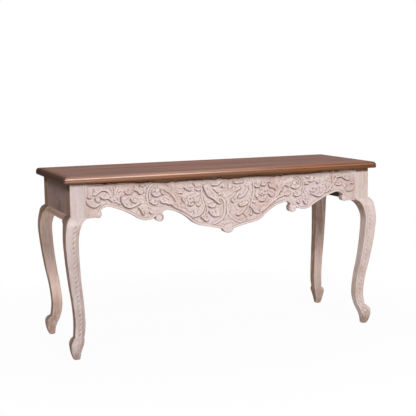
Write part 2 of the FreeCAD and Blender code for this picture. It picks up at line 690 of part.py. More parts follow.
# Battens from the apron to the back rail, housed at both ends, which carry the middle of the top
BATTEN_LOW = f"({RAIL_TOP} - Sizes.batten_high)"
for side, label in (("-", "batten_left"), ("", "batten_right")):
    name = label.title().replace("_", "")
    bar = box(name + "Bar", "Sizes.batten_wide", f"2 * {APRON_BACK}", "Sizes.batten_high",
              f"{side}{BATTEN_X} - Sizes.batten_wide / 2", f"-{APRON_BACK}", BATTEN_LOW)
    stubs = box(name + "Stubs", "Sizes.stub_wide", f"2 * ({APRON_BACK} + Sizes.stub_long)",
                "Sizes.stub_high", f"{side}{BATTEN_X} - Sizes.stub_wide / 2",
                f"-({APRON_BACK} + Sizes.stub_long)",
                f"{BATTEN_LOW} + (Sizes.batten_high - Sizes.stub_high) / 2")
    keep(cut(name, fuse(name + "Blank", [bar, stubs]), screw_holes), label)

# Glides: square pads on square nails driven into the soles, on which the table stands
for x_side, y_side, label in (("-", "-", "front_left"), ("", "-", "front_right"),
                              ("-", "", "back_left"), ("", "", "back_right")):
    name = "Glide" + label.title().replace("_", "")
    pad_of_glide = post(name + "Pad", "Sizes.glide_wide", "Sizes.glide_thick",
                        x_side + PAD_X, y_side + PAD_Y, "0")
    nail = post(name + "Nail", "Sizes.glide_nail_wide", "Sizes.glide_nail_long",
                x_side + PAD_X, y_side + PAD_Y, "Sizes.glide_thick")
    keep(fuse(name, [pad_of_glide, nail]), "glide_" + label)

# Check every object, then write each piece to its own file
doc.recompute()
failed = [obj.Name for obj in doc.Objects if "Invalid" in obj.State or "Error" in obj.State]
if failed:
    raise RuntimeError("not built: " + ", ".join(failed))
for label, obj in parts.items():
    if obj.Shape.isNull() or not obj.Shape.isValid() or not obj.Shape.Solids:
        raise RuntimeError("no sound solid in " + label)
os.makedirs("parts", exist_ok=True)
for label, obj in parts.items():
    obj.Shape.exportStep(f"parts/{label}.step")
    print(label, len(obj.Shape.Solids), round(obj.Shape.Volume))
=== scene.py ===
import math

import bmesh
import bpy
import numpy as np
from mathutils import Matrix, Vector, noise


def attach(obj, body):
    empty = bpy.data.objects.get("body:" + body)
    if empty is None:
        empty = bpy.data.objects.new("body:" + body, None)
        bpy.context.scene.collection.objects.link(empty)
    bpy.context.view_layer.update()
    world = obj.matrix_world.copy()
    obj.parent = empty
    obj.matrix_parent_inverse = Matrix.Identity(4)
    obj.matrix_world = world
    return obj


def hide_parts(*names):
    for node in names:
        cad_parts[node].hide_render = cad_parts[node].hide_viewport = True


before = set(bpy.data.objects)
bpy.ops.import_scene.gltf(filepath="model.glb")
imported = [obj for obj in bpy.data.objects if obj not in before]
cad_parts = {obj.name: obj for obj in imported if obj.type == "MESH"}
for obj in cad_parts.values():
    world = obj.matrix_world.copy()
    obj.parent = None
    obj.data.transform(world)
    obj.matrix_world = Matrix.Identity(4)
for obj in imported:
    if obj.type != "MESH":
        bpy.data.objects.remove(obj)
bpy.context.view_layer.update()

# Front legs: cabriole legs of solid hardwood, sawn from two faces, with a chain of husks cut down the
# front face beside a raised rim and a scroll eye on the toe. Limewash is brushed on and rubbed back, so
# brown wood shows in the cuts and along the arrises.


class Wire:
    """One socket of a finish. Arithmetic on it adds Math nodes, and node() adds any other node."""

    def __init__(self, tree, socket=None):
        self.tree = tree
        self.socket = socket

    def node(self, kind, settings=None, inputs=None, out=0):
        made = self.tree.nodes.new(kind)
        for name, value in (settings or {}).items():
            setattr(made, name, value)
        for key, value in (inputs or {}).items():
            if isinstance(value, Wire):
                self.tree.links.new(value.socket, made.inputs[key])
            else:
                made.inputs[key].default_value = value
        return Wire(self.tree, made.outputs[out] if len(made.outputs) else None)

    def maths(self, operation, first, second):
        return self.node("ShaderNodeMath", {"operation": operation}, {0: first, 1: second})

    def __add__(self, other):
        return self.maths("ADD", self, other)

    def __radd__(self, other):
        return self.maths("ADD", other, self)

    def __sub__(self, other):
        return self.maths("SUBTRACT", self, other)

    def __rsub__(self, other):
        return self.maths("SUBTRACT", other, self)

    def __mul__(self, other):
        return self.maths("MULTIPLY", self, other)

    def __rmul__(self, other):
        return self.maths("MULTIPLY", other, self)

    def held(self):
        """The value kept between 0 and 1."""
        return self.node("ShaderNodeClamp", {}, {0: self})

    def tint(self, low, high):
        """A colour part of the way from low to high."""
        return self.node("ShaderNodeMix", {"data_type": "RGBA"}, {0: self, 6: low, 7: high}, out=2)

    def stretched(self, scale):
        """Coordinates times a scale for each axis."""
        return self.node("ShaderNodeVectorMath", {"operation": "MULTIPLY"}, {0: self, 1: scale})

    def axis(self, number):
        """One of the three coordinates."""
        return self.node("ShaderNodeSeparateXYZ", {}, {0: self}, out=number)

    def cloud(self, scale, detail, rough=0.55):
        """Noise read at these coordinates."""
        grain = {"Vector": self, "Scale": scale, "Detail": detail, "Roughness": rough}
        return self.node("ShaderNodeTexNoise", {}, grain)

    def ramp(self, low, high):
        """0 up to low, 1 from high on and a straight rise between them. Low may be the larger."""
        return self.node("ShaderNodeMapRange", {}, {0: self, 1: low, 2: high})

    def carried(self, label):
        """A value that the mesh carries at its points."""
        return self.node("ShaderNodeAttribute", {"attribute_name": label}, out=2)


def new_finish(name):
    """An empty material, the start of its tree and the coordinates on the object."""
    material = bpy.data.materials.new(name)
    material.use_nodes = True
    material.node_tree.nodes.clear()
    start = Wire(material.node_tree)
    return material, start, start.node("ShaderNodeTexCoord", out=3)


def close_finish(material, colour, roughness, height, depth, **plain):
    """Joins the colour, the roughness and the bump of a finish to its surface."""
    start = Wire(material.node_tree)
    bump = start.node("ShaderNodeBump", {}, {"Strength": 1.0, "Distance": depth, "Height": height})
    sockets = {"Base Color": colour, "Roughness": roughness, "Normal": bump}
    sockets.update({key.replace("_", " "): value for key, value in plain.items()})
    surface = start.node("ShaderNodeBsdfPrincipled", {}, sockets)
    start.node("ShaderNodeOutputMaterial", {}, {"Surface": surface})
    return material


def limewash(name, grain, white, inner_axis=None, streaky=0.10):
    """Limewash, put on with a brush, over brown hardwood whose grain runs along the smallest number in grain.
    The mesh carries one value for where wood shows in its cuts and for painted shade, which goes to near
    black past 1, one for where the wash is worn thin and, on the legs, for painted shade, and one for
    painted highlights, which pale the wash. Streaky is how far the brush marks darken it. A rail's face
    towards the inside of the table, found along inner_axis, was stained and never washed, and the rail gets
    painted shade under the top."""
    material, start, place = new_finish(name)
    hollow, rubbed, brushed = (start.carried(label) for label in ("hollow", "rubbed", "brushed"))
    fibre = place.stretched(grain).cloud(1.0, 5, 0.62)
    brush = place.stretched(tuple(0.22 * g for g in grain)).cloud(1.0, 3)
    patch = place.cloud(11.0, 3)
    speck = place.cloud(420.0, 2)
    stipple = place.cloud(150.0, 2)
    patchy = patch.ramp(0.35, 0.7)
    grainy = fibre.ramp(0.3, 0.7)

    worn_wood = grainy.tint((0.17, 0.082, 0.048, 1), (0.40, 0.245, 0.17, 1))
    cut_wood = fibre.tint((0.15, 0.072, 0.044, 1), (0.36, 0.215, 0.15, 1))
    raw_wood = fibre.tint((0.13, 0.053, 0.020, 1), (0.30, 0.135, 0.058, 1))
    # Past 1 the wood goes near black: painted shade in the gaps behind the leaf tips under the top and on the
    # legs' outer arris just under it.
    darkest_shade = (0.045, 0.019, 0.008, 1)
    wood = hollow.ramp(1.0, 1.09).tint(hollow.ramp(0.80, 0.95).tint(cut_wood, raw_wood), darkest_shade)

    red, green, blue, _ = white
    lilac = (red, 0.95 * green, 1.02 * blue, 1)
    cream = (red, 1.02 * green, 0.95 * blue, 1)
    rosy = (red, 0.90 * green, 0.86 * blue, 1)
    hue = place.cloud(38.0, 3).ramp(0.36, 0.64).tint(lilac, cream)
    paint = (streaky * brush.ramp(0.7, 0.3)).held().tint(hue, (0, 0, 0, 1))
    # Painted highlights pale the wash towards near white.
    highlit = brushed.tint(patchy.tint(paint, rosy), (0.86, 0.78, 0.76, 1))

    bare = (0.36 * fibre.ramp(0.48, 0.76) + 0.30 * patch.ramp(0.48, 0.76)
            + 0.12 * speck.ramp(0.52, 0.75) + 0.20 * stipple.ramp(0.5, 0.72)).held()
    thin = (rubbed * (0.32 + 0.13 * patchy + 0.62 * fibre.ramp(0.38, 0.62)) + 0.72 * bare).held()
    shown = (hollow * (0.70 + 0.55 * fibre)).held()
    colour = shown.tint(thin.tint(highlit, worn_wood), wood)
    if inner_axis is not None:
        # Painted shade: the rail darkens towards the top, under the overhang of the top.
        painted_shade_under_top = 0.95 * place.axis(2).ramp(0.690, 0.726)
        colour = painted_shade_under_top.tint(colour, grainy.tint((0.069, 0.0345, 0.0214, 1), (0.134, 0.080, 0.0555, 1)))
        facing = start.node("ShaderNodeNewGeometry", out=1)
        unwashed = (facing.axis(inner_axis) * place.axis(inner_axis)).ramp(-0.05, -0.12)
        colour = unwashed.tint(colour, fibre.tint((0.020, 0.012, 0.008, 1), (0.055, 0.034, 0.023, 1)))
    return close_finish(material, colour, 0.6 + 0.18 * fibre, fibre + 0.5 * speck, 0.00045,
                        Specular_IOR_Level=0.32)


def leg_slices(node, heights):
    """Lowest and highest x and y of the sawn leg at each height."""
    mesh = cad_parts[node].data
    points = np.array([v.co for v in mesh.vertices])
    ends = points[np.array([e.vertices for e in mesh.edges])]
    low = ends[:, :, 2].argmin(1)
    rows = np.arange(len(ends))
    start, end = ends[rows, low], ends[rows, 1 - low]
    sides = []
    for height in heights:
        cut = (start[:, 2] <= height) & (end[:, 2] > height)
        share = (height - start[cut, 2]) / (end[cut, 2] - start[cut, 2])
        crossing = start[cut] + share[:, None] * (end[cut] - start[cut])
        low_x, low_y = crossing[:, :2].min(0)
        high_x, high_y = crossing[:, :2].max(0)
        sides.append((low_x, high_x, low_y, high_y))
    return np.array(sides)


def smooth(low, high, value):
    """0 below low, 1 above high and an easy curve between them. Low may be the larger."""
    share = np.clip((value - low) / (high - low), 0, 1)
    return share * share * (3 - 2 * share)


def husk_cuts(inward, height, coiled):
    """Depth of the cuts in the front face, from the distance to the inner arris and the height, and how
    bright a painted highlight makes the husks and the eye of the toe's scroll. Coiled, up to 1, is how far
    that scroll is cut."""
    middle, half_width, pitch = 0.0205, 0.0080, 0.0212
    chain_foot, chain_head = 0.088, 0.608
    run = smooth(chain_foot, chain_foot + 0.016, height) * smooth(chain_head, chain_head - 0.012, height)
    across = (inward - middle) / half_width
    along = (height / pitch + 0.30 * across + 0.10 * np.sin(3.0 * across)) % 1.0 - 0.5
    husk = np.sqrt(np.clip(1 - across ** 2 - np.abs(along / 0.47) ** 2.4, 0, 1))
    off_joint = np.where(along > 0, along - 0.5, along + 0.5)
    tick = np.exp(-((across - 0.15 - 0.9 * off_joint) / 0.40) ** 2 - (off_joint / 0.26) ** 2)
    by_hand = 0.62 + 0.38 * np.sin(61.0 * height) * np.sin(23.0 * height)
    channel = smooth(0.0125, 0.0092, np.abs(inward - middle))
    cuts = 0.0011 * channel * (1 - husk) + 0.0029 * tick * by_hand
    cuts += 0.0010 * np.exp(-((inward - 0.0090) / 0.0014) ** 2)
    cuts += 0.0006 * np.exp(-((inward - 0.0330) / 0.0018) ** 2)
    eye_in, eye_up, eye_radius, scroll_depth = 0.0215, 0.064, 0.0118, 0.0027
    from_eye = np.hypot(inward - eye_in, height - eye_up)
    coil = eye_radius + 0.0011 * np.arctan2(height - eye_up, inward - eye_in)
    scroll = np.exp(-((from_eye - coil) / 0.0022) ** 2) * smooth(0.098, 0.086, height)
    in_eye = 0.8 * coiled * smooth(0.009, 0.005, from_eye)
    return np.maximum(cuts * run, scroll_depth * coiled * scroll), np.maximum(in_eye, 0.55 * husk * run)


def carry(mesh, **fields):
    """Stores values at the points of a mesh for its finish."""
    for label, values in fields.items():
        data = np.asarray(values, np.float32).ravel()
        mesh.attributes.new(label, "FLOAT", "POINT").data.foreach_set("value", data)


def placed(name, mesh):
    """A new object in the scene."""
    piece = bpy.data.objects.new(name, mesh)
    bpy.context.scene.collection.objects.link(piece)
    return piece


def ring_faces(rows, columns):
    """Faces of a stack of closed rings, with both ends of the stack closed."""
    index = np.arange(rows * columns).reshape(rows, columns)
    follow = np.roll(index, -1, 1)
    quads = np.stack([index[:-1], follow[:-1], follow[1:], index[1:]], -1).reshape(-1, 4)
    return quads.tolist() + [index[0][::-1].tolist(), index[-1].tolist()]


LEG_FOOT, LEG_HEAD, SLICES = 0.003, 0.750, 375


def build_leg(name, node, inner_x, sides, high, ridge, stain_from, chain=0.0, low=0.0, coiled=None):
    """A leg as a stack of square rings with eased corners. inner_x is -1 for a left leg and 1 for a right
    one, and a leg with a scroll is a carved one. The wash is worn on its sides and along the chain by those
    shares. High darkens it high up, which on a carved leg's sides is painted shade, and low darkens it low
    down with painted shade. The ridge share gives the left arris of the front face a painted highlight, and
    the knee, the husks and the scroll's eye get one too. Above stain_from it was never there."""
    carved = coiled is not None
    heights = np.linspace(LEG_FOOT, LEG_HEAD, SLICES)
    x0, x1, y0, y1 = leg_slices(node, np.clip(heights, LEG_FOOT + 0.0001, LEG_HEAD - 0.0001)).T
    ease = 0.0004 + 0.0036 * smooth(0.610, 0.56, heights) + 0.002 * smooth(0.11, 0.05, heights)
    face_count, side_count, corner_count = (58, 12, 4) if carved else (14, 14, 4)
    ring_x, ring_y, cut, eye = [], [], [], []
    uncut = np.zeros_like(heights)
    corners = [(x0, y0, 1, 1), (x1, y0, -1, 1), (x1, y1, -1, -1), (x0, y1, 1, -1)]
    for k, count in enumerate((face_count, side_count, side_count, side_count)):
        ax, ay, a_in_x, a_in_y = corners[k]
        bx, by, b_in_x, b_in_y = corners[(k + 1) % 4]
        along_x = k % 2 == 0
        start_x = ax + a_in_x * ease * along_x
        start_y = ay + a_in_y * ease * (not along_x)
        end_x = bx + b_in_x * ease * along_x
        end_y = by + b_in_y * ease * (not along_x)
        for share in np.linspace(0, 1, count):
            ring_x.append(start_x + (end_x - start_x) * share)
            ring_y.append(start_y + (end_y - start_y) * share)
            if carved and k == 0:
                inward = x1 - ring_x[-1] if inner_x < 0 else ring_x[-1] - x0
                depth, highlit = husk_cuts(inward, heights, coiled)
            else:
                depth, highlit = uncut, uncut
            cut.append(depth)
            eye.append(highlit)
        for step in range(1, corner_count + 1):
            turn = math.radians(-90 + 90 * k + 90 * step / (corner_count + 1))
            ring_x.append(bx + b_in_x * ease + ease * math.cos(turn))
            ring_y.append(by + b_in_y * ease + ease * math.sin(turn))
            cut.append(uncut)
            eye.append(uncut)
    ring_x, ring_y, cut, eye = (np.array(a).T for a in (ring_x, ring_y, cut, eye))
    up = heights[:, None]
    points = np.stack([ring_x, ring_y + cut, up + 0 * ring_x], -1).reshape(-1, 3)
    mesh = bpy.data.meshes.new(name)
    mesh.from_pydata(points.tolist(), [], ring_faces(*ring_x.shape))

    from_left, from_right = ring_x - x0[:, None], x1[:, None] - ring_x
    from_front = ring_y - y0[:, None]
    from_face = np.minimum(from_front, y1[:, None] - ring_y)
    inner, outer = (from_right, from_left) if inner_x < 0 else (from_left, from_right)
    on_front = smooth(0.004, 0.001, from_front)
    on_chain = on_front * smooth(0.60, 0.57, up)
    near_corner = np.minimum(from_left, from_right) + from_face
    # A carved leg's sides darken high up by high: painted shade under the apron.
    side_wear_and_shade = sides + carved * high * smooth(0.48, 0.585, up)
    leg_wear_and_shade = [
        0.75 * smooth(0.0035, 0.0008, near_corner) * smooth(0.62, 0.585, up),
        side_wear_and_shade * smooth(0.001, 0.006, from_face),
        chain * smooth(0.016, 0.011, inner) * on_chain * (0.8 + 0.6 * smooth(0.40, 0.15, up)),
        0.6 * chain * smooth(0.034, 0.026, inner) * on_chain,
        np.maximum(0.5 * chain * smooth(0.045, 0.006, inner), 0.15) * smooth(0.59, 0.62, up) * on_front,
        0.25 * chain * smooth(0.60, 0.56, up) * on_front,
        0.7 * smooth(0.085, 0.012, up) * np.ones_like(ring_x),
    ]
    if not carved:
        # Darker high up by high. Low darkens the leg towards the foot: painted shade.
        by_height = 0.06 + high * smooth(0.22, 0.46, up) + low * smooth(0.24, 0.10, up)
        leg_wear_and_shade.append(by_height * np.ones_like(ring_x))
    ragged = np.array([[noise.noise((14 * x, 3.0, 60 * z)) for x in ring_x[-1]] for z in heights])
    stained = smooth(stain_from - 0.005, stain_from + 0.002, up + 0.004 * ragged)
    bare_side_and_shade = smooth(0.0015, 0.0004, outer) * smooth(0.585, 0.61, up)
    # Painted shade: the outer arris goes to near black just under the top.
    bare_side_and_shade *= 0.70 + 0.38 * smooth(0.700, 0.728, up)
    in_cuts = (0.5 + 0.5 * chain) * smooth(0.0007, 0.0026, cut)
    # Painted highlights: a band round the knee on the front and back faces and a strip along the left arris
    # of the front face; husk_cuts gives those on the husks and the scroll's eye.
    knee = 0.7 * carved * np.exp(-((up - 0.583) / 0.010) ** 2) * smooth(0.004, 0.001, from_face)
    left_ridge_highlight = ridge * smooth(0.0045, 0.0020, from_left) * on_chain
    carry(mesh, hollow=np.maximum.reduce([in_cuts, bare_side_and_shade, stained]), rubbed=np.maximum.reduce(leg_wear_and_shade),
          brushed=np.maximum.reduce([knee, left_ridge_highlight, eye]))
    mesh.shade_smooth()
    mesh.set_sharp_from_angle(angle=math.radians(60))
    return placed(name, mesh)


LEG_GRAIN = (95.0, 95.0, 7.0)
for side, inner_x, white, looks in (
        ("left", -1, (0.725, 0.65, 0.648, 1),
         dict(sides=1.4, high=0.0, ridge=0.35, stain_from=0.745, chain=0.5, coiled=0.35)),
        ("right", 1, (0.785, 0.69, 0.658, 1),
         dict(sides=0.22, high=1.0, ridge=0.6, stain_from=0.734, chain=0.10, coiled=1.0))):
    leg = build_leg("carved_leg_" + side, "leg_front_" + side, inner_x, **looks)
    leg.data.materials.append(limewash("leg_limewash_" + side, LEG_GRAIN, white))
    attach(leg, "root")
    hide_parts("leg_front_" + side)

# Back legs: the same cabriole template in the same hardwood, sawn from two faces and left uncarved. Their
# limewash is more worn than that of the front legs, and the left one darkens towards the foot with
# painted shade.
back_leg_wash = limewash("back_leg_limewash", LEG_GRAIN, (0.88, 0.70, 0.63, 1))
for side, inner_x, looks in (("left", -1, dict(sides=1.3, high=0.22, ridge=0.35, low=0.55)),
                             ("right", 1, dict(sides=1.25, high=0.62, ridge=0.6))):
    leg = build_leg("plain_leg_" + side, "leg_back_" + side, inner_x, stain_from=0.738, **looks)
    leg.data.materials.append(back_leg_wash)
    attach(leg, "root")
    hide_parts("leg_back_" + side)

# End rails, back rail and the flared mouldings: plain hardwood boards, tenoned into the posts, with the
# grain along each board. They keep the frame's shapes and take a limewash that has gone brown.
end_wash = limewash("end_limewash", (60.0, 12.0, 60.0), (0.415, 0.293, 0.272, 1), inner_axis=0, streaky=0.60)
flare_wash = limewash("flare_limewash", (95.0, 7.0, 95.0), (0.74, 0.50, 0.42, 1), inner_axis=0)
back_wash = limewash("back_limewash", (7.0, 95.0, 95.0), (0.50, 0.385, 0.345, 1), inner_axis=1)


def dress(node, material):
    """Gives a node that keeps its shape a finish in every slot."""
    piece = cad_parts[node]
    piece.data.materials.clear()
    piece.data.materials.append(material)


for side in ("left", "right"):
    dress("end_rail_" + side, end_wash)
    dress("end_flare_" + side, flare_wash)
dress("back_rail", back_wash)

# Front apron: one hardwood board, its lower edge sawn in scallops with drop scrolls and a pendant, its
# face carved in relief with scrolling leaves, a flower on each side and a palmette in the middle, then
# limewashed and rubbed back. Drawn for one half as (distance from the middle, height), in millimetres.
SPAN, TOP_Z, BACK_Y, GROUND_Y = 651.0, 750.0, -198.0, -222.0
# Corners of the lower edge, measured down from the apron's top, each with a point on the arc that follows
# and 1 where a rim runs along that arc
LOWER_EDGE = [
    ((0, 259), (16, 253), 0), ((27, 239), (70, 228), 1), ((118, 218), (154, 207), 1),
    ((182, 186), (230, 154), 1), ((287, 135), (302, 139), 0), ((313, 150), (326, 184.5), 0),
    ((341, 162), (377, 174.5), 1), ((422, 163), (482, 130), 1), ((550, 105), (572, 109), 1),
    ((587, 121), (584, 143), 0), ((606, 149), None, 0),
]


def arc_points(start, crown, end, spacing):
    """Points on the arc through three points, without the last one."""
    start, crown, end = (np.array(p, float) for p in (start, crown, end))
    (ax, ay), (bx, by) = crown - start, end - start
    across = 2 * (ax * by - ay * bx)
    offset = np.array([by * (ax ** 2 + ay ** 2) - ay * (bx ** 2 + by ** 2),
                       ax * (bx ** 2 + by ** 2) - bx * (ax ** 2 + ay ** 2)]) / across
    centre = start + offset
    radius = np.hypot(*offset)
    turns = [math.atan2(*(p - centre)[::-1]) for p in (start, crown, end)]
    sweep = (turns[2] - turns[0]) % (2 * math.pi)
    if (turns[1] - turns[0]) % (2 * math.pi) > sweep:
        sweep -= 2 * math.pi
    count = max(3, int(abs(sweep) * radius / spacing))
    angles = turns[0] + sweep * np.arange(count) / count
    return centre + radius * np.stack([np.cos(angles), np.sin(angles)], -1)


ARC_SPACING, RIM_FADE = 0.8, 9
edge, rim_share = [], []
for (corner, crown, rim), (next_corner, _, _) in zip(LOWER_EDGE, LOWER_EDGE[1:]):
    run = arc_points(corner, crown, next_corner, ARC_SPACING)
    edge.append(run)
    rim_share += [float(rim)] * len(run)
last_corner = LOWER_EDGE[-1][0]
edge = np.concatenate(edge + [np.array([last_corner, (SPAN, last_corner[1])], float)])
edge[:, 1] = TOP_Z - edge[:, 1]
rim_share = np.convolve(rim_share + [0.0, 0.0], np.ones(RIM_FADE) / RIM_FADE, "same")
outline = np.concatenate([[(-SPAN, TOP_Z)], edge[::-1] * (-1, 1), edge[1:], [(SPAN, TOP_Z)]])

# Cut lines of the carving: the wood stands high above each line, with a lip along it, and drops below it.
# Each has its half (-1 left, 1 right, 0 both), its height, the width of its slope and its points.
CUT_LINES = [
    (-1, 5.0, 14, [(584, 653), (596, 646), (610, 639), (627, 642), (642, 652), (648, 664), (650, 677)]),
    (1, 4.5, 14, [(600, 649), (608, 646), (622, 645), (638, 650), (646, 659), (650, 671)]),
    (0, 4.5, 10, [(626, 683), (629, 681), (636, 679), (643, 684), (647, 691)]),
    (-1, 5.5, 20, [(549, 695), (554, 700), (563, 706), (575, 708), (584, 706), (594, 699), (604, 692),
                   (615, 690), (624, 695)]),
    (1, 5.5, 18, [(547, 709), (562, 713), (578, 713), (590, 707), (600, 700), (613, 697), (627, 700)]),
    (-1, 5.0, 10, [(588, 662), (595, 660), (605, 665), (609, 673), (606, 684)]),
    (-1, 5.0, 13, [(531, 656), (541, 663), (550, 670), (556, 673), (564, 671), (574, 672), (581, 677),
                   (590, 687)]),
    (1, 5.0, 12, [(548, 679), (555, 676), (563, 674), (572, 676), (584, 684)]),
    (0, 4.0, 9, [(493, 643), (502, 647), (514, 654), (529, 658)]),
    (-1, 4.5, 12, [(446, 700), (451, 691), (460, 687), (471, 688), (478, 694), (480, 706)]),
    (1, 4.5, 12, [(400, 706), (407, 700), (414, 698), (425, 698), (439, 703)]),
    (0, 5.5, 16, [(408, 648), (417, 642), (433, 634), (447, 629), (463, 628), (474, 632), (486, 643),
                  (494, 655), (495, 669), (491, 686)]),
    (-1, 5.0, 9, [(424, 651), (438, 650), (446, 654), (452, 662), (452, 674)]),
    (1, 4.0, 9, [(410, 656), (418, 653), (428, 652), (438, 656)]),
    (-1, 5.0, 14, [(392, 695), (400, 689), (406, 686), (414, 687), (421, 695), (431, 701), (443, 705)]),
    (1, 5.0, 12, [(384, 695), (391, 689), (399, 687), (409, 690)]),
    (1, 4.0, 9, [(443, 698), (452, 691), (461, 688)]),
    (0, 4.5, 12, [(383, 726), (391, 720), (401, 717), (409, 721), (417, 727)]),
    (-1, 5.5, 12, [(389, 598), (396, 595), (404, 602), (409, 616), (415, 622), (423, 633)]),
    (1, 5.5, 9, [(376, 618), (380, 609), (385, 600), (391, 596), (396, 604), (399, 614)]),
    (1, 4.5, 9, [(345, 611), (350, 605), (356, 601), (364, 605)]),
    (-1, 4.5, 10, [(350, 599), (361, 598), (368, 602), (374, 611)]),
    (0, 6.0, 18, [(311, 684), (320, 676), (330, 672), (341, 671), (353, 677), (360, 689)]),
    (-1, 4.0, 10, [(303, 674), (313, 682), (320, 691)]),
    (1, 4.5, 14, [(258, 670), (264, 679), (272, 686), (284, 689), (296, 683), (306, 675)]),
    (0, 5.0, 13, [(328, 649), (331, 643), (337, 637), (348, 636), (360, 642), (372, 650)]),
    (-1, 5.0, 12, [(160, 566), (173, 569), (203, 584), (217, 595), (244, 612), (260, 623), (272, 633),
                   (285, 633), (293, 639), (305, 639), (317, 645), (322, 656)]),
    (1, 5.0, 12, [(160, 571), (186, 588), (212, 608), (231, 622), (251, 633), (264, 637), (282, 644),
                  (294, 640), (306, 645), (313, 653)]),
    (0, 3.5, 15, [(246, 638), (250, 647), (259, 662), (272, 676), (284, 686), (301, 693)]),
    (-1, 3.5, 8, [(213, 677), (224, 679), (234, 679), (245, 681)]),
    (-1, 5.0, 14, [(174, 693), (182, 689), (192, 690), (201, 696), (214, 708)]),
    (1, 5.0, 12, [(158, 700), (166, 694), (174, 692), (181, 694), (189, 701)]),
    (1, 3.5, 9, [(191, 705), (201, 707), (212, 711)]),
    (1, 3.5, 7, [(175, 664), (186, 668), (197, 673)]),
    (1, 5.0, 11, [(200, 702), (203, 689), (209, 682), (218, 682), (229, 676), (237, 663)]),
    (0, 5.0, 10, [(126, 700), (131, 691), (137, 687), (146, 686), (156, 692), (160, 699)]),
    (-1, 4.0, 11, [(155, 698), (157, 706), (163, 716), (174, 725)]),
    (-1, 5.0, 9, [(165, 628), (169, 625), (178, 622), (188, 624), (196, 632)]),
    (-1, 5.0, 9, [(152, 634), (158, 635), (162, 637), (169, 644)]),
    (-1, 5.0, 9, [(133, 627), (138, 621), (145, 618), (155, 626)]),
    (-1, 5.0, 9, [(203, 638), (210, 640), (217, 650), (219, 662)]),
    (1, 5.0, 9, [(150, 628), (158, 624), (168, 622), (178, 623), (187, 628)]),
    (1, 4.5, 8, [(148, 660), (155, 655), (162, 650), (172, 648), (175, 659)]),
    (1, 4.5, 8, [(135, 649), (139, 642), (142, 636), (150, 635)]),
    (1, 4.5, 9, [(112, 628), (120, 621), (129, 617), (138, 620)]),
    (1, 4.0, 9, [(194, 663), (201, 653), (209, 645), (220, 636)]),
    (1, 4.0, 8, [(150, 686), (157, 676), (163, 670)]),
    (-1, 5.0, 17, [(109, 628), (116, 605), (124, 589), (137, 577), (154, 571), (166, 569)]),
    (1, 5.0, 17, [(102, 608), (114, 593), (127, 576), (142, 570), (158, 571)]),
    (-1, 6.0, 22, [(34, 628), (37, 624), (43, 622), (51, 626), (60, 634), (71, 643), (83, 651), (98, 659),
                   (108, 676), (115, 690), (123, 709)]),
    (-1, 5.0, 15, [(32, 722), (40, 713), (51, 706), (64, 705), (75, 706), (85, 709)]),
    (-1, 4.5, 10, [(42, 673), (54, 673), (65, 684), (76, 694)]),
    (-1, 3.5, 8, [(20, 688), (28, 699), (32, 708)]),
    (-1, 3.0, 10, [(33, 665), (45, 661), (53, 665)]),
    (-1, 5.0, 12, [(59, 622), (67, 611), (78, 607), (89, 611), (100, 620)]),
    (-1, 5.0, 14, [(38, 571), (49, 567), (62, 566), (73, 569), (84, 579), (97, 597)]),
    (-1, 5.5, 13, [(90, 560), (97, 553), (104, 548), (114, 553), (125, 562), (137, 576)]),
    (1, 5.0, 15, [(23, 724), (28, 714), (39, 709), (51, 709), (62, 710), (77, 714)]),
    (1, 3.5, 8, [(5, 681), (15, 692), (20, 704)]),
    (1, 4.5, 10, [(33, 674), (45, 678), (56, 683), (63, 693)]),
    (1, 6.0, 20, [(50, 639), (54, 641), (69, 649), (82, 657), (90, 669), (100, 689)]),
    (1, 4.0, 9, [(44, 632), (41, 644), (48, 657), (61, 668)]),
    (1, 5.0, 9, [(12, 639), (20, 628), (30, 620)]),
    (1, 5.0, 12, [(47, 620), (54, 609), (61, 604), (74, 607), (87, 612), (101, 622)]),
    (1, 5.0, 14, [(36, 567), (48, 566), (61, 570), (72, 580), (84, 593), (95, 609)]),
    (1, 4.5, 11, [(95, 545), (89, 549), (78, 561), (65, 575)]),
    (1, 4.0, 8, [(100, 570), (112, 562), (120, 569)]),
]
# Stems: rounded bands with their half width and height
STEMS = [
    (-1, 5.2, 2.8, [(50, 653), (30, 647), (18, 632), (16, 609), (18, 579), (31, 555), (63, 538),
                    (90, 528)]),
    (-1, 5.2, 2.8, [(-31, 658), (-20, 654), (-5, 642), (4, 616), (1, 583), (-19, 557)]),
    (1, 5.2, 2.8, [(33, 659), (20, 654), (5, 642), (-4, 616), (-1, 583), (19, 557), (49, 539), (76, 530)]),
    (-1, 4.5, 3.2, [(338, 732), (354, 725), (371, 709), (379, 686), (379, 661), (373, 638)]),
    (-1, 4.0, 2.4, [(334, 724), (352, 714), (364, 700), (368, 680), (366, 660)]),
    (1, 3.2, 4.0, [(318, 726), (334, 725), (350, 716), (358, 700), (357, 684)]),
    (1, 3.2, 3.0, [(352, 730), (369, 714), (377, 692), (377, 668), (371, 646)]),
    (0, 11.0, 2.4, [(232, 612), (241, 645), (262, 680), (292, 704), (330, 719)]),
    (0, 9.0, 2.4, [(570, 728), (554, 713), (542, 699), (530, 680)]),
    (0, 6.0, 2.0, [(525, 686), (520, 701), (513, 716), (507, 726)]),
    (0, 5.0, 3.4, [(531, 684), (521, 668), (512, 656), (499, 645)]),
    (0, 4.0, 3.0, [(126, 716), (126, 690), (126, 660), (119, 630), (112, 600), (117, 566)]),
    (0, 3.0, 2.5, [(96, 602), (104, 584), (108, 566)]),
    (-1, 5.0, 2.2, [(9, 726), (9, 704), (10, 682)]),
]
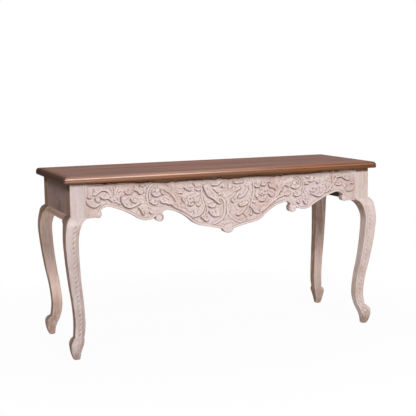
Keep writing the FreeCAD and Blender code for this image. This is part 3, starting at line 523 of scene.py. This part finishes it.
# Fine cuts along the leaves, with their depth
VEINS = [
    (2.2, [(509, 689), (501, 699), (489, 703)]), (2.0, [(469, 667), (460, 673)]),
    (2.0, [(551, 681), (538, 676)]), (2.2, [(570, 729), (591, 731), (615, 732), (637, 726)]),
    (2.2, [(551, 722), (541, 708), (528, 684)]), (2.0, [(532, 728), (527, 706), (526, 684)]),
    (1.8, [(332, 718), (328, 703)]), (1.8, [(341, 700), (346, 686)]), (1.8, [(346, 656), (347, 642)]),
    (2.0, [(172, 661), (163, 680)]), (1.8, [(155, 652), (142, 667)]), (2.0, [(151, 585), (153, 580)]),
    (2.2, [(376, 625), (373, 620)]), (2.2, [(405, 626), (402, 620)]), (1.8, [(456, 678), (467, 669)]),
    (1.3, [(92, 690), (80, 676), (66, 655)]), (1.3, [(106, 700), (96, 684)]),
    (1.8, [(515, 730), (518, 712), (524, 692)]), (1.6, [(112, 582), (104, 568), (99, 558)]),
    (1.6, [(124, 576), (115, 564)]), (1.5, [(88, 634), (78, 618)]), (1.5, [(74, 636), (66, 622)]),
    (1.4, [(84, 594), (74, 578)]), (1.4, [(66, 594), (58, 576)]), (1.6, [(292, 664), (276, 650)]),
    (1.6, [(282, 674), (266, 656)]), (1.5, [(480, 654), (466, 638)]), (1.5, [(455, 650), (450, 636)]),
    (1.5, [(566, 692), (560, 680)]), (1.5, [(580, 696), (572, 682)]), (1.4, [(168, 600), (158, 580)]),
    (1.4, [(150, 604), (145, 584)]), (1.4, [(239, 628), (240, 650), (259, 684), (277, 702)]),
    (1.6, [(420, 720), (408, 706)]), (1.6, [(440, 724), (432, 708)]), (1.6, [(620, 722), (612, 704)]),
    (1.6, [(598, 724), (594, 708)]), (1.6, [(220, 730), (206, 712)]), (1.6, [(196, 722), (190, 702)]),
    (1.5, [(104, 728), (92, 712), (86, 700)]), (2.6, [(24, 534), (23, 527)]), (1.6, [(40, 700), (30, 688)]),
    (1.4, [(40, 653), (27, 634), (21, 618)]),
]
# Where the leaves end under the top, on each half
CRESTS = {
    -1: [(0, 727), (20, 729), (42, 735), (53, 731), (60, 728), (97, 732), (120, 730), (173, 732),
         (225, 731), (250, 727), (262, 733), (275, 729), (287, 726), (328, 730), (362, 734), (388, 733),
         (412, 731), (440, 737), (500, 739), (524, 736), (548, 740), (563, 735), (580, 739), (612, 741),
         (651, 741)],
    1: [(0, 727), (21, 729), (32, 732), (51, 729), (70, 733), (98, 735), (146, 735), (200, 731), (230, 728),
        (245, 733), (262, 727), (275, 732), (300, 733), (330, 735), (360, 733), (400, 733), (465, 738),
        (510, 741), (519, 736), (535, 743), (552, 736), (568, 742), (597, 744), (637, 743), (651, 740)],
}

# The face as a grid over one half, from under the pendant up to the top
STEP, LOWEST = 1.5, 490.5
half_a = np.arange(0, SPAN + 0.01, STEP)
grid_z = np.arange(LOWEST, TOP_Z + 0.01, STEP)
A, Z = np.meshgrid(half_a, grid_z)
# Spacing of the points on a curve, and how far the carving is lifted and tilted from its drawing
CURVE_SPACING, LIFT, TILT = 2.5, 2.4, 0.0048


def easy_curve(points):
    """Points along a smooth curve through the given ones."""
    padded = np.concatenate([[2 * points[0] - points[1]], points, [2 * points[-1] - points[-2]]])
    curve = []
    for p0, p1, p2, p3 in zip(padded, padded[1:], padded[2:], padded[3:]):
        count = max(2, int(np.hypot(*(p2 - p1)) / CURVE_SPACING))
        t = (np.arange(count) / count)[:, None]
        curve.append(0.5 * (2 * p1 + (p2 - p0) * t + (2 * p0 - 5 * p1 + 4 * p2 - p3) * t ** 2
                            + (3 * p1 - p0 - 3 * p2 + p3) * t ** 3))
    return np.concatenate(curve + [points[-1:]])


def uneven(points, half, sway=False):
    """Points as the carver laid them out, a little higher to the left. With sway they drift, so that a line
    drawn for both halves isn't mirrored exactly."""
    a, z = np.array(points, float).T
    shift = sway * np.sin(a / 31.0 + z / 47.0)
    return np.stack([a + 1.5 * shift, z + LIFT - TILT * half * a + 0.8 * shift], -1)


def near_curve(points, reach):
    """The part of the grid near a curve: its index, the distance to the curve, the side of it, the place
    along it from 0 to 1, and the curve's length."""
    curve = easy_curve(points)
    low, high = curve.min(0) - reach, curve.max(0) + reach
    window = np.ix_(np.flatnonzero((grid_z >= low[1]) & (grid_z <= high[1])),
                    np.flatnonzero((half_a >= low[0]) & (half_a <= high[0])))
    at = np.stack([A[window], Z[window]], -1)[..., None, :]
    start, run = curve[:-1], np.diff(curve, axis=0)
    share = np.clip(((at - start) * run).sum(-1) / (run ** 2).sum(-1), 0, 1)
    gap = at - (start + share[..., None] * run)
    far = np.hypot(gap[..., 0], gap[..., 1])
    nearest = far.argmin(-1)
    pick = np.take_along_axis
    offset = pick(gap, nearest[..., None, None].repeat(2, -1), -2)[..., 0, :]
    along = run[nearest]
    side = along[..., 0] * offset[..., 1] - along[..., 1] * offset[..., 0]
    place = (nearest + pick(share, nearest[..., None], -1)[..., 0]) / len(run)
    return window, pick(far, nearest[..., None], -1)[..., 0], side, place, len(run) * CURVE_SPACING


EDGE_REACH = 26
edge_far, edge_rim = np.zeros_like(A), np.zeros_like(A)
for column, a in enumerate(half_a):
    close = np.flatnonzero(np.abs(edge[:, 0] - a) < EDGE_REACH)
    gap = np.hypot(edge[close, 0] - a, edge[close, 1][None, :] - grid_z[:, None])
    edge_far[:, column] = gap.min(1)
    edge_rim[:, column] = rim_share[close[gap.argmin(1)]]

# Centres and radii of the round forms: eyes of the leaves, knobs of the drop scrolls and pendant, flowers
EYES = ((436, 661, 7), (596, 672, 8), (335, 652, 4), (332, 698, 10))
EYE_HIGH = 4.6
KNOBS = ((327, 581, 14, 5.0), (598, 613, 11, 3.6), (0, 512, 20, 2.4))
FLOWERS = {-1: (182, 652), 1: (166, 658)}
FLOWER_RADIUS, FLOWER_HIGH, PETAL_TURN = 31, 3.6, 2 * math.pi / 5
# Heights above the ground: between the leaves, in the strip under the top, by the posts, and the limits
FIELD, UNDER_TOP, BY_POST, THINNEST, THICKEST = 4.4, 0.8, 11.7, 0.2, 12.6


def tapered(place, length, run):
    """1 along a curve, with an easy fall to 0 over the run at both ends."""
    share = min(0.3, run / length)
    return smooth(0, share, place) * smooth(1, 1 - share, place)


def cut_relief(half):
    """What the cut lines and the stems raise and sink on one half of the face, and its fine cuts."""
    raised, sunk, veined = np.zeros_like(A), np.zeros_like(A), np.zeros_like(A)
    for only, high, wide, points in CUT_LINES:
        if only in (0, half):
            reach = 1.7 * wide
            laid = uneven(points, half, half > abs(only))
            window, far, side, place, length = near_curve(laid, reach + 4)
            fade = high * tapered(place, length, 9.0)
            flute = 1 - 0.20 * (0.5 + 0.5 * np.cos(2 * math.pi * place * length / 8.0)) * smooth(5, 9, far)
            lip = np.where(far > 3, np.exp(-((far - 3.0) / 3.0) ** 2), 1)
            tail = np.clip(1 - far / reach, 0, 1) * flute
            slope = smooth(-1.2, 3.0, far) * (0.30 * lip + 0.82 * tail)
            raised[window] = np.maximum(raised[window], np.where(side > 0, 1.5 * fade * slope, 0))
            drop = 0.48 * np.exp(-(far / 4.0) ** 2) + 0.28 * np.clip(1 - far / 13.0, 0, 1)
            sunk[window] = np.maximum(sunk[window], np.where(side <= 0, 1.05 * fade * drop, 0))
    for only, wide, high, points in STEMS:
        if only in (0, half):
            laid = uneven(points, half, half > abs(only))
            window, far, _, place, length = near_curve(laid, wide + 4)
            fade = tapered(place, length, 14.0)
            stem = np.sqrt(np.clip(1 - (far / wide) ** 2, 0, 1))
            raised[window] = np.maximum(raised[window], 1.3 * high * fade * stem)
            gutter = np.exp(-((far - wide - 0.8) / 1.6) ** 2)
            sunk[window] = np.maximum(sunk[window], min(1.0, 0.25 * high) * fade * gutter)
    for deep, points in VEINS:
        window, far, _, place, length = near_curve(uneven(points, half, half > 0), 5)
        vein = 1.2 * deep * tapered(place, length, 6.0) * np.clip(1 - far / 3.0, 0, 1)
        veined[window] = np.maximum(veined[window], vein)
    return raised, sunk, veined


def grid_noise(half, stretch_a, stretch_z, layer, lean=0.0):
    """Noise over one half of the face."""
    return np.array([[noise.noise((half * a * stretch_a + lean * z, z * stretch_z, layer)) for a in half_a]
                     for z in grid_z])


def toward(field, target, share):
    """The field moved a share of the way to the target."""
    return field + (target - field) * share


def dome(distance, radius):
    """A dome of height 1 over this radius."""
    return np.sqrt(np.clip(1 - (distance / radius) ** 2, 0, 1))


def carve_half(half):
    """Height of the carving above its ground over one half of the face, and how bare its wood is, with
    painted shade under the top.
    """
    raised, sunk, veined = cut_relief(half)

    def from_centre(centre):
        (centre_a, centre_z), = uneven([centre], half)
        return np.hypot(A - centre_a, Z - centre_z), np.arctan2(A - centre_a, Z - centre_z)

    # Flower: a low dome with five dished petals round a pit
    from_flower, turn = from_centre(FLOWERS[half])
    raised = np.maximum(raised, FLOWER_HIGH * dome(from_flower, FLOWER_RADIUS))
    parting = np.abs(((turn + 0.15) / PETAL_TURN) % 1 - 0.5) * PETAL_TURN * from_flower
    petals = 2.3 * np.exp(-((from_flower - 16) / 7.5) ** 2) * smooth(0.5, 5.0, parting)
    pit = 3.6 * smooth(5.2, 2.6, from_flower)
    veined = np.maximum.reduce([veined, petals, pit])
    for eye_a, eye_z, eye_radius in EYES:
        from_eye, _ = from_centre((eye_a, eye_z))
        raised = np.maximum(raised, EYE_HIGH * dome(from_eye, eye_radius))

    # The ground lies low under the top and comes up level with the posts by the legs
    roll = grid_noise(half, 0.021, 0.021, 3.7)
    tool = grid_noise(half, 0.13, 0.13, 9.1)
    lobe = np.abs(grid_noise(half, 0.050, 0.062, 5.3, lean=0.02))
    crest = np.interp(half_a, *np.array(CRESTS[half], float).T)[None, :] + (3.2 if half < 0 else 2.0)
    beyond = smooth(crest - 0.6, crest + 2.2, Z + 1.2 * tool)
    by_leg = smooth(560, 645, A)
    off_post = smooth(651, 647, A)
    face = FIELD + 1.2 * roll + 5.0 * by_leg + (raised - veined) * (1 - 0.35 * by_leg) - sunk
    lobes = 4.6 * (np.minimum(lobe, 0.35) - 0.2) * smooth(625, 590, A)
    face += lobes * (1 - 0.7 * np.clip(raised / 4, 0, 1))
    face = toward(face, BY_POST, smooth(640, 650.5, A) * (1 - 0.6 * np.clip(sunk / 3, 0, 1)))
    face = toward(face, UNDER_TOP, beyond * off_post)
    face += 0.45 * tool

    # A rim follows the scallops, and the scroll knobs hang from it
    rim = np.where(edge_far < 9.5, 7.4 * dome(edge_far - 4.6, 6.6),
                   5.2 - 1.0 * np.exp(-((edge_far - 10.6) / 1.8) ** 2))
    face = toward(face, rim, edge_rim * smooth(15, 11.5, edge_far))
    for knob_a, knob_z, knob_radius, knob_high in KNOBS:
        from_knob, turn = np.hypot(A - knob_a, Z - knob_z), np.arctan2(A - knob_a, Z - knob_z)
        coil = (from_knob + 0.16 * knob_radius * turn) / knob_radius
        knob = 4.6 + knob_high * dome(from_knob, 1.3 * knob_radius)
        knob = knob - 0.8 * np.exp(-((coil - 0.62) / 0.16) ** 2)
        face = toward(face, knob, smooth(1.15 * knob_radius, 0.95 * knob_radius, from_knob))
    face -= 2.2 * np.clip(1 - edge_far / 2.4, 0, 1) ** 2

    # Bare wood in the strip under the top and in patches. Painted shade deepens the strip next to the leaf
    # tips, to near black in the gaps, and falls soft over the leaves just below it.
    bare_strip_and_shade = beyond * (0.87 + 0.13 * smooth(8, 2, Z - crest + 4 * tool))
    painted_shade_below_top = 0.60 * smooth(crest - 18, crest, Z + 3 * tool)
    patches = 0.42 * smooth(crest - 22, crest - 2, Z + 9 * roll) * smooth(0.0, 0.35, roll + 0.25)
    bare = np.maximum(np.maximum(bare_strip_and_shade, painted_shade_below_top) * off_post, patches * smooth(651, 640, A))
    return np.clip(face, THINNEST, THICKEST), bare


left_face, left_bare_and_shade = carve_half(-1)
right_face, right_bare_and_shade = carve_half(1)


def softened(field, reach):
    """The field averaged over a square window, twice."""
    kernel = np.ones(2 * reach + 1) / (2 * reach + 1)
    for axis in (0, 1, 0, 1):
        padded = np.pad(field, [(reach, reach) if k == axis else (0, 0) for k in (0, 1)], "edge")
        field = np.apply_along_axis(np.convolve, axis, padded, kernel, "valid")
    return field


grid_x = np.concatenate([-half_a[:0:-1], half_a])
SEAM_REACH = 14
seam = smooth(SEAM_REACH, 0, half_a) * 0.5
right_face, left_face = toward(right_face, left_face, seam), toward(left_face, right_face, seam)
full = np.concatenate([left_face[:, :0:-1], right_face], 1)
bare = np.concatenate([left_bare_and_shade[:, :0:-1], right_bare_and_shade], 1)
narrow_cuts = 0.82 * np.clip((softened(full, 2) - full - 0.1) / 1.3, 0, 1)
# Broad hollows darken a little: brown wash in part, painted shade in part.
wide_hollows = np.clip((softened(full, 5) - full) / 5, 0, 0.30)
# Past 1 the strip's bare wood and painted shade go near black.
hollow = np.maximum(np.minimum(narrow_cuts + wide_hollows, 0.78), 1.1 * bare)
rubbed = 0.30 * smooth(570, 640, np.abs(grid_x))[None, :] * smooth(735, 690, grid_z)[:, None]
# Painted highlight on the raised forms.
brushed = 0.45 * np.clip((full - softened(full, 6) - 0.2) / 2.6, 0, 1)

# The grid's squares inside the outline are kept, their border is drawn onto it, and the board gets its back
middle_x, middle_z = (grid_x[:-1] + grid_x[1:]) / 2, (grid_z[:-1] + grid_z[1:]) / 2
kept = np.zeros((len(middle_z), len(middle_x)), bool)
first, last = outline, np.roll(outline, -1, 0)
for column, x in enumerate(middle_x):
    crossed = (first[:, 0] <= x) != (last[:, 0] <= x)
    share = (x - first[crossed, 0]) / (last[crossed, 0] - first[crossed, 0])
    heights = first[crossed, 1] + share * (last[crossed, 1] - first[crossed, 1])
    kept[:, column] = (heights[None, :] < middle_z[:, None]).sum(1) % 2 == 1
index = np.arange(len(grid_z) * len(grid_x)).reshape(len(grid_z), len(grid_x))
quads = np.stack([index[:-1, :-1], index[:-1, 1:], index[1:, 1:], index[1:, :-1]], -1)[kept]
flat_x, flat_z = np.meshgrid(grid_x, grid_z)
points = np.stack([flat_x, GROUND_Y - full, flat_z], -1).reshape(-1, 3)
neighbours = np.zeros(len(points), int)
np.add.at(neighbours, quads.ravel(), 1)
run = last - first
for vertex in np.flatnonzero((neighbours > 0) & (neighbours < 4)):
    offset = points[vertex, [0, 2]] - first
    share = np.clip((offset * run).sum(1) / (run ** 2).sum(1), 0, 1)
    spot = first + share[:, None] * run
    points[vertex, [0, 2]] = spot[np.hypot(*(spot - points[vertex, [0, 2]]).T).argmin()]
used = np.unique(quads)
renumber = np.zeros(len(points), int)
renumber[used] = np.arange(len(used))
apron_mesh = bpy.data.meshes.new("carved_apron")
apron_mesh.from_pydata((points[used] / 1000).tolist(), [], renumber[quads].tolist())
carry(apron_mesh, hollow=hollow.ravel()[used], rubbed=rubbed.ravel()[used], brushed=brushed.ravel()[used])
bm = bmesh.new()
bm.from_mesh(apron_mesh)
bmesh.ops.remove_doubles(bm, verts=bm.verts, dist=0.00015)
border = [e for e in bm.edges if e.is_boundary]
drawn = bmesh.ops.extrude_edge_only(bm, edges=border)["geom"]
for vertex in (g for g in drawn if isinstance(g, bmesh.types.BMVert)):
    vertex.co.y = BACK_Y / 1000
back_loop = [g for g in drawn if isinstance(g, bmesh.types.BMEdge) and g.is_boundary]
bmesh.ops.edgeloop_fill(bm, edges=back_loop)
bmesh.ops.recalc_face_normals(bm, faces=bm.faces)
bm.to_mesh(apron_mesh)
bm.free()
apron_mesh.shade_smooth()
apron_mesh.set_sharp_from_angle(angle=math.radians(65))
apron_mesh.materials.append(limewash("apron_limewash", (9.0, 95.0, 95.0), (0.77, 0.665, 0.66, 1)))
apron = placed("carved_apron", apron_mesh)
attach(apron, "root")
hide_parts("front_apron")

# Braces, battens, screws and glides: bare sawn wood and steel under the top, and nylon under the feet. They
# are hidden or small, so they keep the frame's shapes and only take a finish.
material, _, place = new_finish("bare_sawn_wood")
saw = place.stretched((30.0, 30.0, 160.0)).cloud(1.0, 4)
sawn = saw.ramp(0.3, 0.75).tint((0.13, 0.075, 0.045, 1), (0.26, 0.16, 0.10, 1))
inner_wood = close_finish(material, sawn, 0.7 + 0.2 * saw, saw, 0.0005)
material, _, place = new_finish("screw_steel")
scratch = place.cloud(900.0, 3)
grey = scratch.tint((0.38, 0.37, 0.35, 1), (0.62, 0.60, 0.57, 1))
steel = close_finish(material, grey, 0.32 + 0.2 * scratch, scratch, 0.00005, Metallic=1.0)
material, _, place = new_finish("glide_nylon")
fleck = place.cloud(600.0, 2)
black = fleck.tint((0.018, 0.014, 0.011, 1), (0.035, 0.028, 0.022, 1))
nylon = close_finish(material, black, 0.5 + 0.2 * fleck, fleck, 0.00005)
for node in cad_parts:
    if node.startswith(("corner_brace", "batten")):
        dress(node, inner_wood)
    elif node.endswith("screws"):
        dress(node, steel)
    elif node.startswith("glide"):
        dress(node, nylon)

# Top: four brown stained boards joined edge to edge and moulded all round, a quarter round over a sunk
# line and a bead. The satin finish has rubbed to orange along the front edge. Painted shade darkens the
# sunk line, the underside of the bead, the ends and the back, and the top near the left end, where it is
# partly dark stain. Painted highlights pale the shoulder and the bead along the front, most at the left.
material, start, place = new_finish("brown_stained_top")
rubbed_edge, edge_highlight = start.carried("rubbed"), start.carried("brushed")
painted_edge_shade, board = start.carried("hollow"), start.carried("board")
shift = start.node("ShaderNodeCombineXYZ", {}, {0: 1.7 * board, 1: 0.0, 2: 0.63 * board})
plank_place = start.node("ShaderNodeVectorMath", {"operation": "ADD"}, {0: place, 1: shift})
figure = plank_place.stretched((1.6, 38.0, 38.0)).cloud(1.0, 6, 0.6)
pores = plank_place.stretched((9.0, 260.0, 260.0)).cloud(1.0, 4, 0.6)
cloudy = plank_place.stretched((1.4, 6.0, 6.0)).cloud(1.0, 3)
dark = figure.ramp(0.38, 0.64).tint((0.095, 0.030, 0.018, 1), (0.315, 0.104, 0.052, 1))
brown = (0.55 * pores.ramp(0.5, 0.75)).tint(dark, (0.045, 0.018, 0.012, 1))
edge_tint = figure.ramp(0.3, 0.7).tint((0.125, 0.037, 0.009, 1), (0.31, 0.106, 0.028, 1))
orange = (0.5 * pores.ramp(0.5, 0.75)).tint(edge_tint, (0.12, 0.045, 0.02, 1))
# Painted highlight: the front edge pales towards pink.
edge_with_highlight = (edge_highlight * (0.6 + 0.8 * figure)).held().tint(orange, (0.80, 0.52, 0.42, 1))
stained = (rubbed_edge * (0.75 + 0.4 * cloudy)).held().tint(brown, edge_with_highlight)
# Painted shade, partly dark stain, on the top near the left end, added to the painted shade of the edges.
left_end_shade = place.axis(0).ramp(-0.708, -0.742)
edge_shade_share = (painted_edge_shade + 0.55 * left_end_shade * (1 - rubbed_edge)).held()
shaded_edges = (edge_shade_share * (0.7 + 0.4 * figure)).held().tint(stained, (0.060, 0.024, 0.010, 1))
satin = 0.42 + 0.14 * cloudy + 0.08 * pores - 0.26 * rubbed_edge + 0.45 * edge_shade_share
top_wood = close_finish(material, shaded_edges, satin, figure + 0.8 * pores, 0.0003, Specular_IOR_Level=0.5)

HALF_LENGTH, HALF_DEPTH, BOARD = 0.750, 0.255, 0.1275
EDGE_ROUND, BEAD, QUIRK, UNDER, UPPER = 0.015, 0.005, 0.0012, 0.750, 0.780
line_low, line_high = UPPER - EDGE_ROUND - QUIRK, UPPER - EDGE_ROUND
profile = [(BEAD, UNDER)]
for t in np.radians(np.linspace(12, 90, 8)):
    profile.append((BEAD * (1 - math.sin(t)), UNDER + BEAD * (1 - math.cos(t))))
profile += [(0, UNDER + 0.0075), (0, UNDER + 0.0100), (0, line_low - 0.0012), (0.0003, line_low - 0.0003)]
profile += [(QUIRK, line_low), (QUIRK, line_high)]
for t in np.radians(np.linspace(0, 90, 15)):
    profile.append((EDGE_ROUND * (1 - math.cos(t)), line_high + EDGE_ROUND * math.sin(t)))
ALONG = np.linspace(-1, 1, 121)
ACROSS_COUNT, FRONT_END = 13, 0.995
for number in range(4):
    low_y, high_y = -HALF_DEPTH + BOARD * number, -HALF_DEPTH + BOARD * (number + 1)
    rings, worn, shaded_edges, highlight_marks = [], [], [], []
    for inset, z in profile:
        x = HALF_LENGTH - inset
        y_low, y_high = max(low_y, -HALF_DEPTH + inset), min(high_y, HALF_DEPTH - inset)
        across = np.linspace(y_low, y_high, ACROSS_COUNT)
        ring = [(x * s, y_low, z) for s in ALONG] + [(x, y, z) for y in across[1:-1]]
        ring += [(-x * s, y_high, z) for s in ALONG] + [(-x, y, z) for y in across[::-1][1:-1]]
        rings.append(ring)
        others = np.zeros(len(ring) - len(ALONG))
        spots = np.concatenate([ALONG, others])
        on_front = np.concatenate([(number == 0) & (np.abs(ALONG) < FRONT_END), others])
        worn.append(on_front * smooth(UPPER + 0.0005, UPPER - 0.002, z))
        # Painted shade in the sunk line, under the bead, and round the ends and the back.
        in_line = 0.8 * (inset >= QUIRK and line_low <= z <= line_high)
        under_bead = (1 - 0.45 * on_front) * smooth(UNDER + 0.0066, UNDER + 0.0034, z)
        round_ends = 0.98 * (1 - on_front) * smooth(UPPER + 0.0004, UPPER - 0.005, z)
        shaded_edges.append(np.maximum(np.maximum(under_bead, round_ends), in_line))
        # Painted highlights along the front: on the shoulder, most at the left, on a lower line near the left
        # end, and over the face above the bead on the left half.
        shoulder_highlight = math.exp(-((z - UPPER + 0.0108) / 0.0034) ** 2) * (0.20 + 0.42 * smooth(0.6, -0.5, spots))
        bead_highlight = 0.30 * math.exp(-((z - UNDER - 0.0105) / 0.0030) ** 2) * smooth(-0.35, -0.9, spots)
        band_highlight = 0.13 * smooth(UNDER + 0.006, UNDER + 0.009, z) * smooth(0.5, 0.1, spots)
        highlight_marks.append(on_front * np.maximum.reduce([shoulder_highlight, bead_highlight, band_highlight]))
    count = len(rings[0])
    mesh = bpy.data.meshes.new(f"top_plank_{number + 1}")
    mesh.from_pydata([p for ring in rings for p in ring], [], ring_faces(len(rings), count))
    carry(mesh, rubbed=worn, hollow=shaded_edges, brushed=highlight_marks, board=[[number] * count] * len(rings))
    mesh.shade_smooth()
    mesh.set_sharp_from_angle(angle=math.radians(40))
    mesh.materials.append(top_wood)
    plank = placed(f"top_plank_{number + 1}", mesh)
    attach(plank, "root")
    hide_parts(f"top_board_{number + 1}")

# Studio: a pale floor that runs into a white background, large soft lamps in front of the table, at its
# left, above it and low behind it, and a weak even light from all round
FLOOR = 30.0
floor_mesh = bpy.data.meshes.new("floor")
floor_corners = [(-FLOOR, -FLOOR, 0), (FLOOR, -FLOOR, 0), (FLOOR, FLOOR, 0), (-FLOOR, FLOOR, 0)]
floor_mesh.from_pydata(floor_corners, [], [(0, 1, 2, 3)])
floor = placed("floor", floor_mesh)
material, start, spot = new_finish("pale_floor")
seen = start.node("ShaderNodeLightPath", out=0)
away = start.node("ShaderNodeVectorMath", {"operation": "LENGTH"}, {0: spot}, out=1).ramp(0.7, 1.6)
pale = start.node("ShaderNodeBsdfDiffuse", {}, {"Color": (0.86, 0.86, 0.86, 1)})
glow = start.node("ShaderNodeEmission", {}, {"Color": (1, 1, 1, 1), "Strength": 1.0})
ground = start.node("ShaderNodeMixShader", {}, {0: seen * (0.955 + 0.045 * away), 1: pale, 2: glow})
start.node("ShaderNodeOutputMaterial", {}, {"Surface": ground})
floor_mesh.materials.append(material)

LAMP_WHITE = (1.0, 0.985, 0.97)
world = bpy.data.worlds.new("studio")
world.use_nodes = True
world.node_tree.nodes.clear()
start = Wire(world.node_tree)
seen = start.node("ShaderNodeLightPath", out=0)
mirrored = start.node("ShaderNodeLightPath", out=3)
all_round = start.node("ShaderNodeBackground", {}, {"Color": LAMP_WHITE + (1,), "Strength": 0.12})
white = start.node("ShaderNodeBackground", {}, {"Color": (1, 1, 1, 1), "Strength": 1.0})
backdrop = start.node("ShaderNodeMixShader", {}, {0: (seen + 0.55 * mirrored).held(), 1: all_round, 2: white})
start.node("ShaderNodeOutputWorld", {}, {"Surface": backdrop})
bpy.context.scene.world = world

for name, wide, high, power, at, aim in (
        ("front_lamp", 1.7, 0.9, 82, (0.3, -3.10, 2.65), (0.0, 0.0, 0.42)),
        ("side_lamp", 2.4, 1.8, 80, (-4.6, -3.4, 1.3), (0.0, 0.0, 0.4)),
        ("overhead_lamp", 2.4, 1.6, 20, (0.2, -0.1, 2.7), (0.0, 0.0, 0.0)),
        ("back_lamp", 2.4, 0.6, 24, (0.4, 3.4, 0.38), (0.0, 0.0, 0.45))):
    lamp_data = bpy.data.lights.new(name, "AREA")
    lamp_data.shape = "RECTANGLE"
    lamp_data.size, lamp_data.size_y = wide, high
    lamp_data.energy = power
    lamp_data.color = LAMP_WHITE
    lamp = placed(name, lamp_data)
    lamp.location = at
    lamp.rotation_euler = (Vector(aim) - Vector(at)).to_track_quat("-Z", "Y").to_euler()

# Camera: a long lens from the front left, a little above the top, turned by yaw, pitch and roll from a
# level view along the table's depth
CAMERA_AT = (-1.66079, -3.96750, 1.17164)
yaw, pitch, roll = 0.39585, -0.13769, -0.01196
camera_data = bpy.data.cameras.new("camera")
camera_data.lens, camera_data.sensor_width = 80.38, 36.0
camera = placed("camera", camera_data)
forward = Vector((math.sin(yaw) * math.cos(pitch), math.cos(yaw) * math.cos(pitch), math.sin(pitch)))
right = Vector((math.cos(yaw), -math.sin(yaw), 0))
up = right.cross(forward)
tilted_right = right * math.cos(roll) + up * math.sin(roll)
tilted_up = up * math.cos(roll) - right * math.sin(roll)
turned = Matrix((tilted_right, tilted_up, -forward)).transposed().to_4x4()
camera.matrix_world = Matrix.Translation(CAMERA_AT) @ turned
bpy.context.scene.camera = camera
bpy.context.scene.view_settings.view_transform = "Standard"
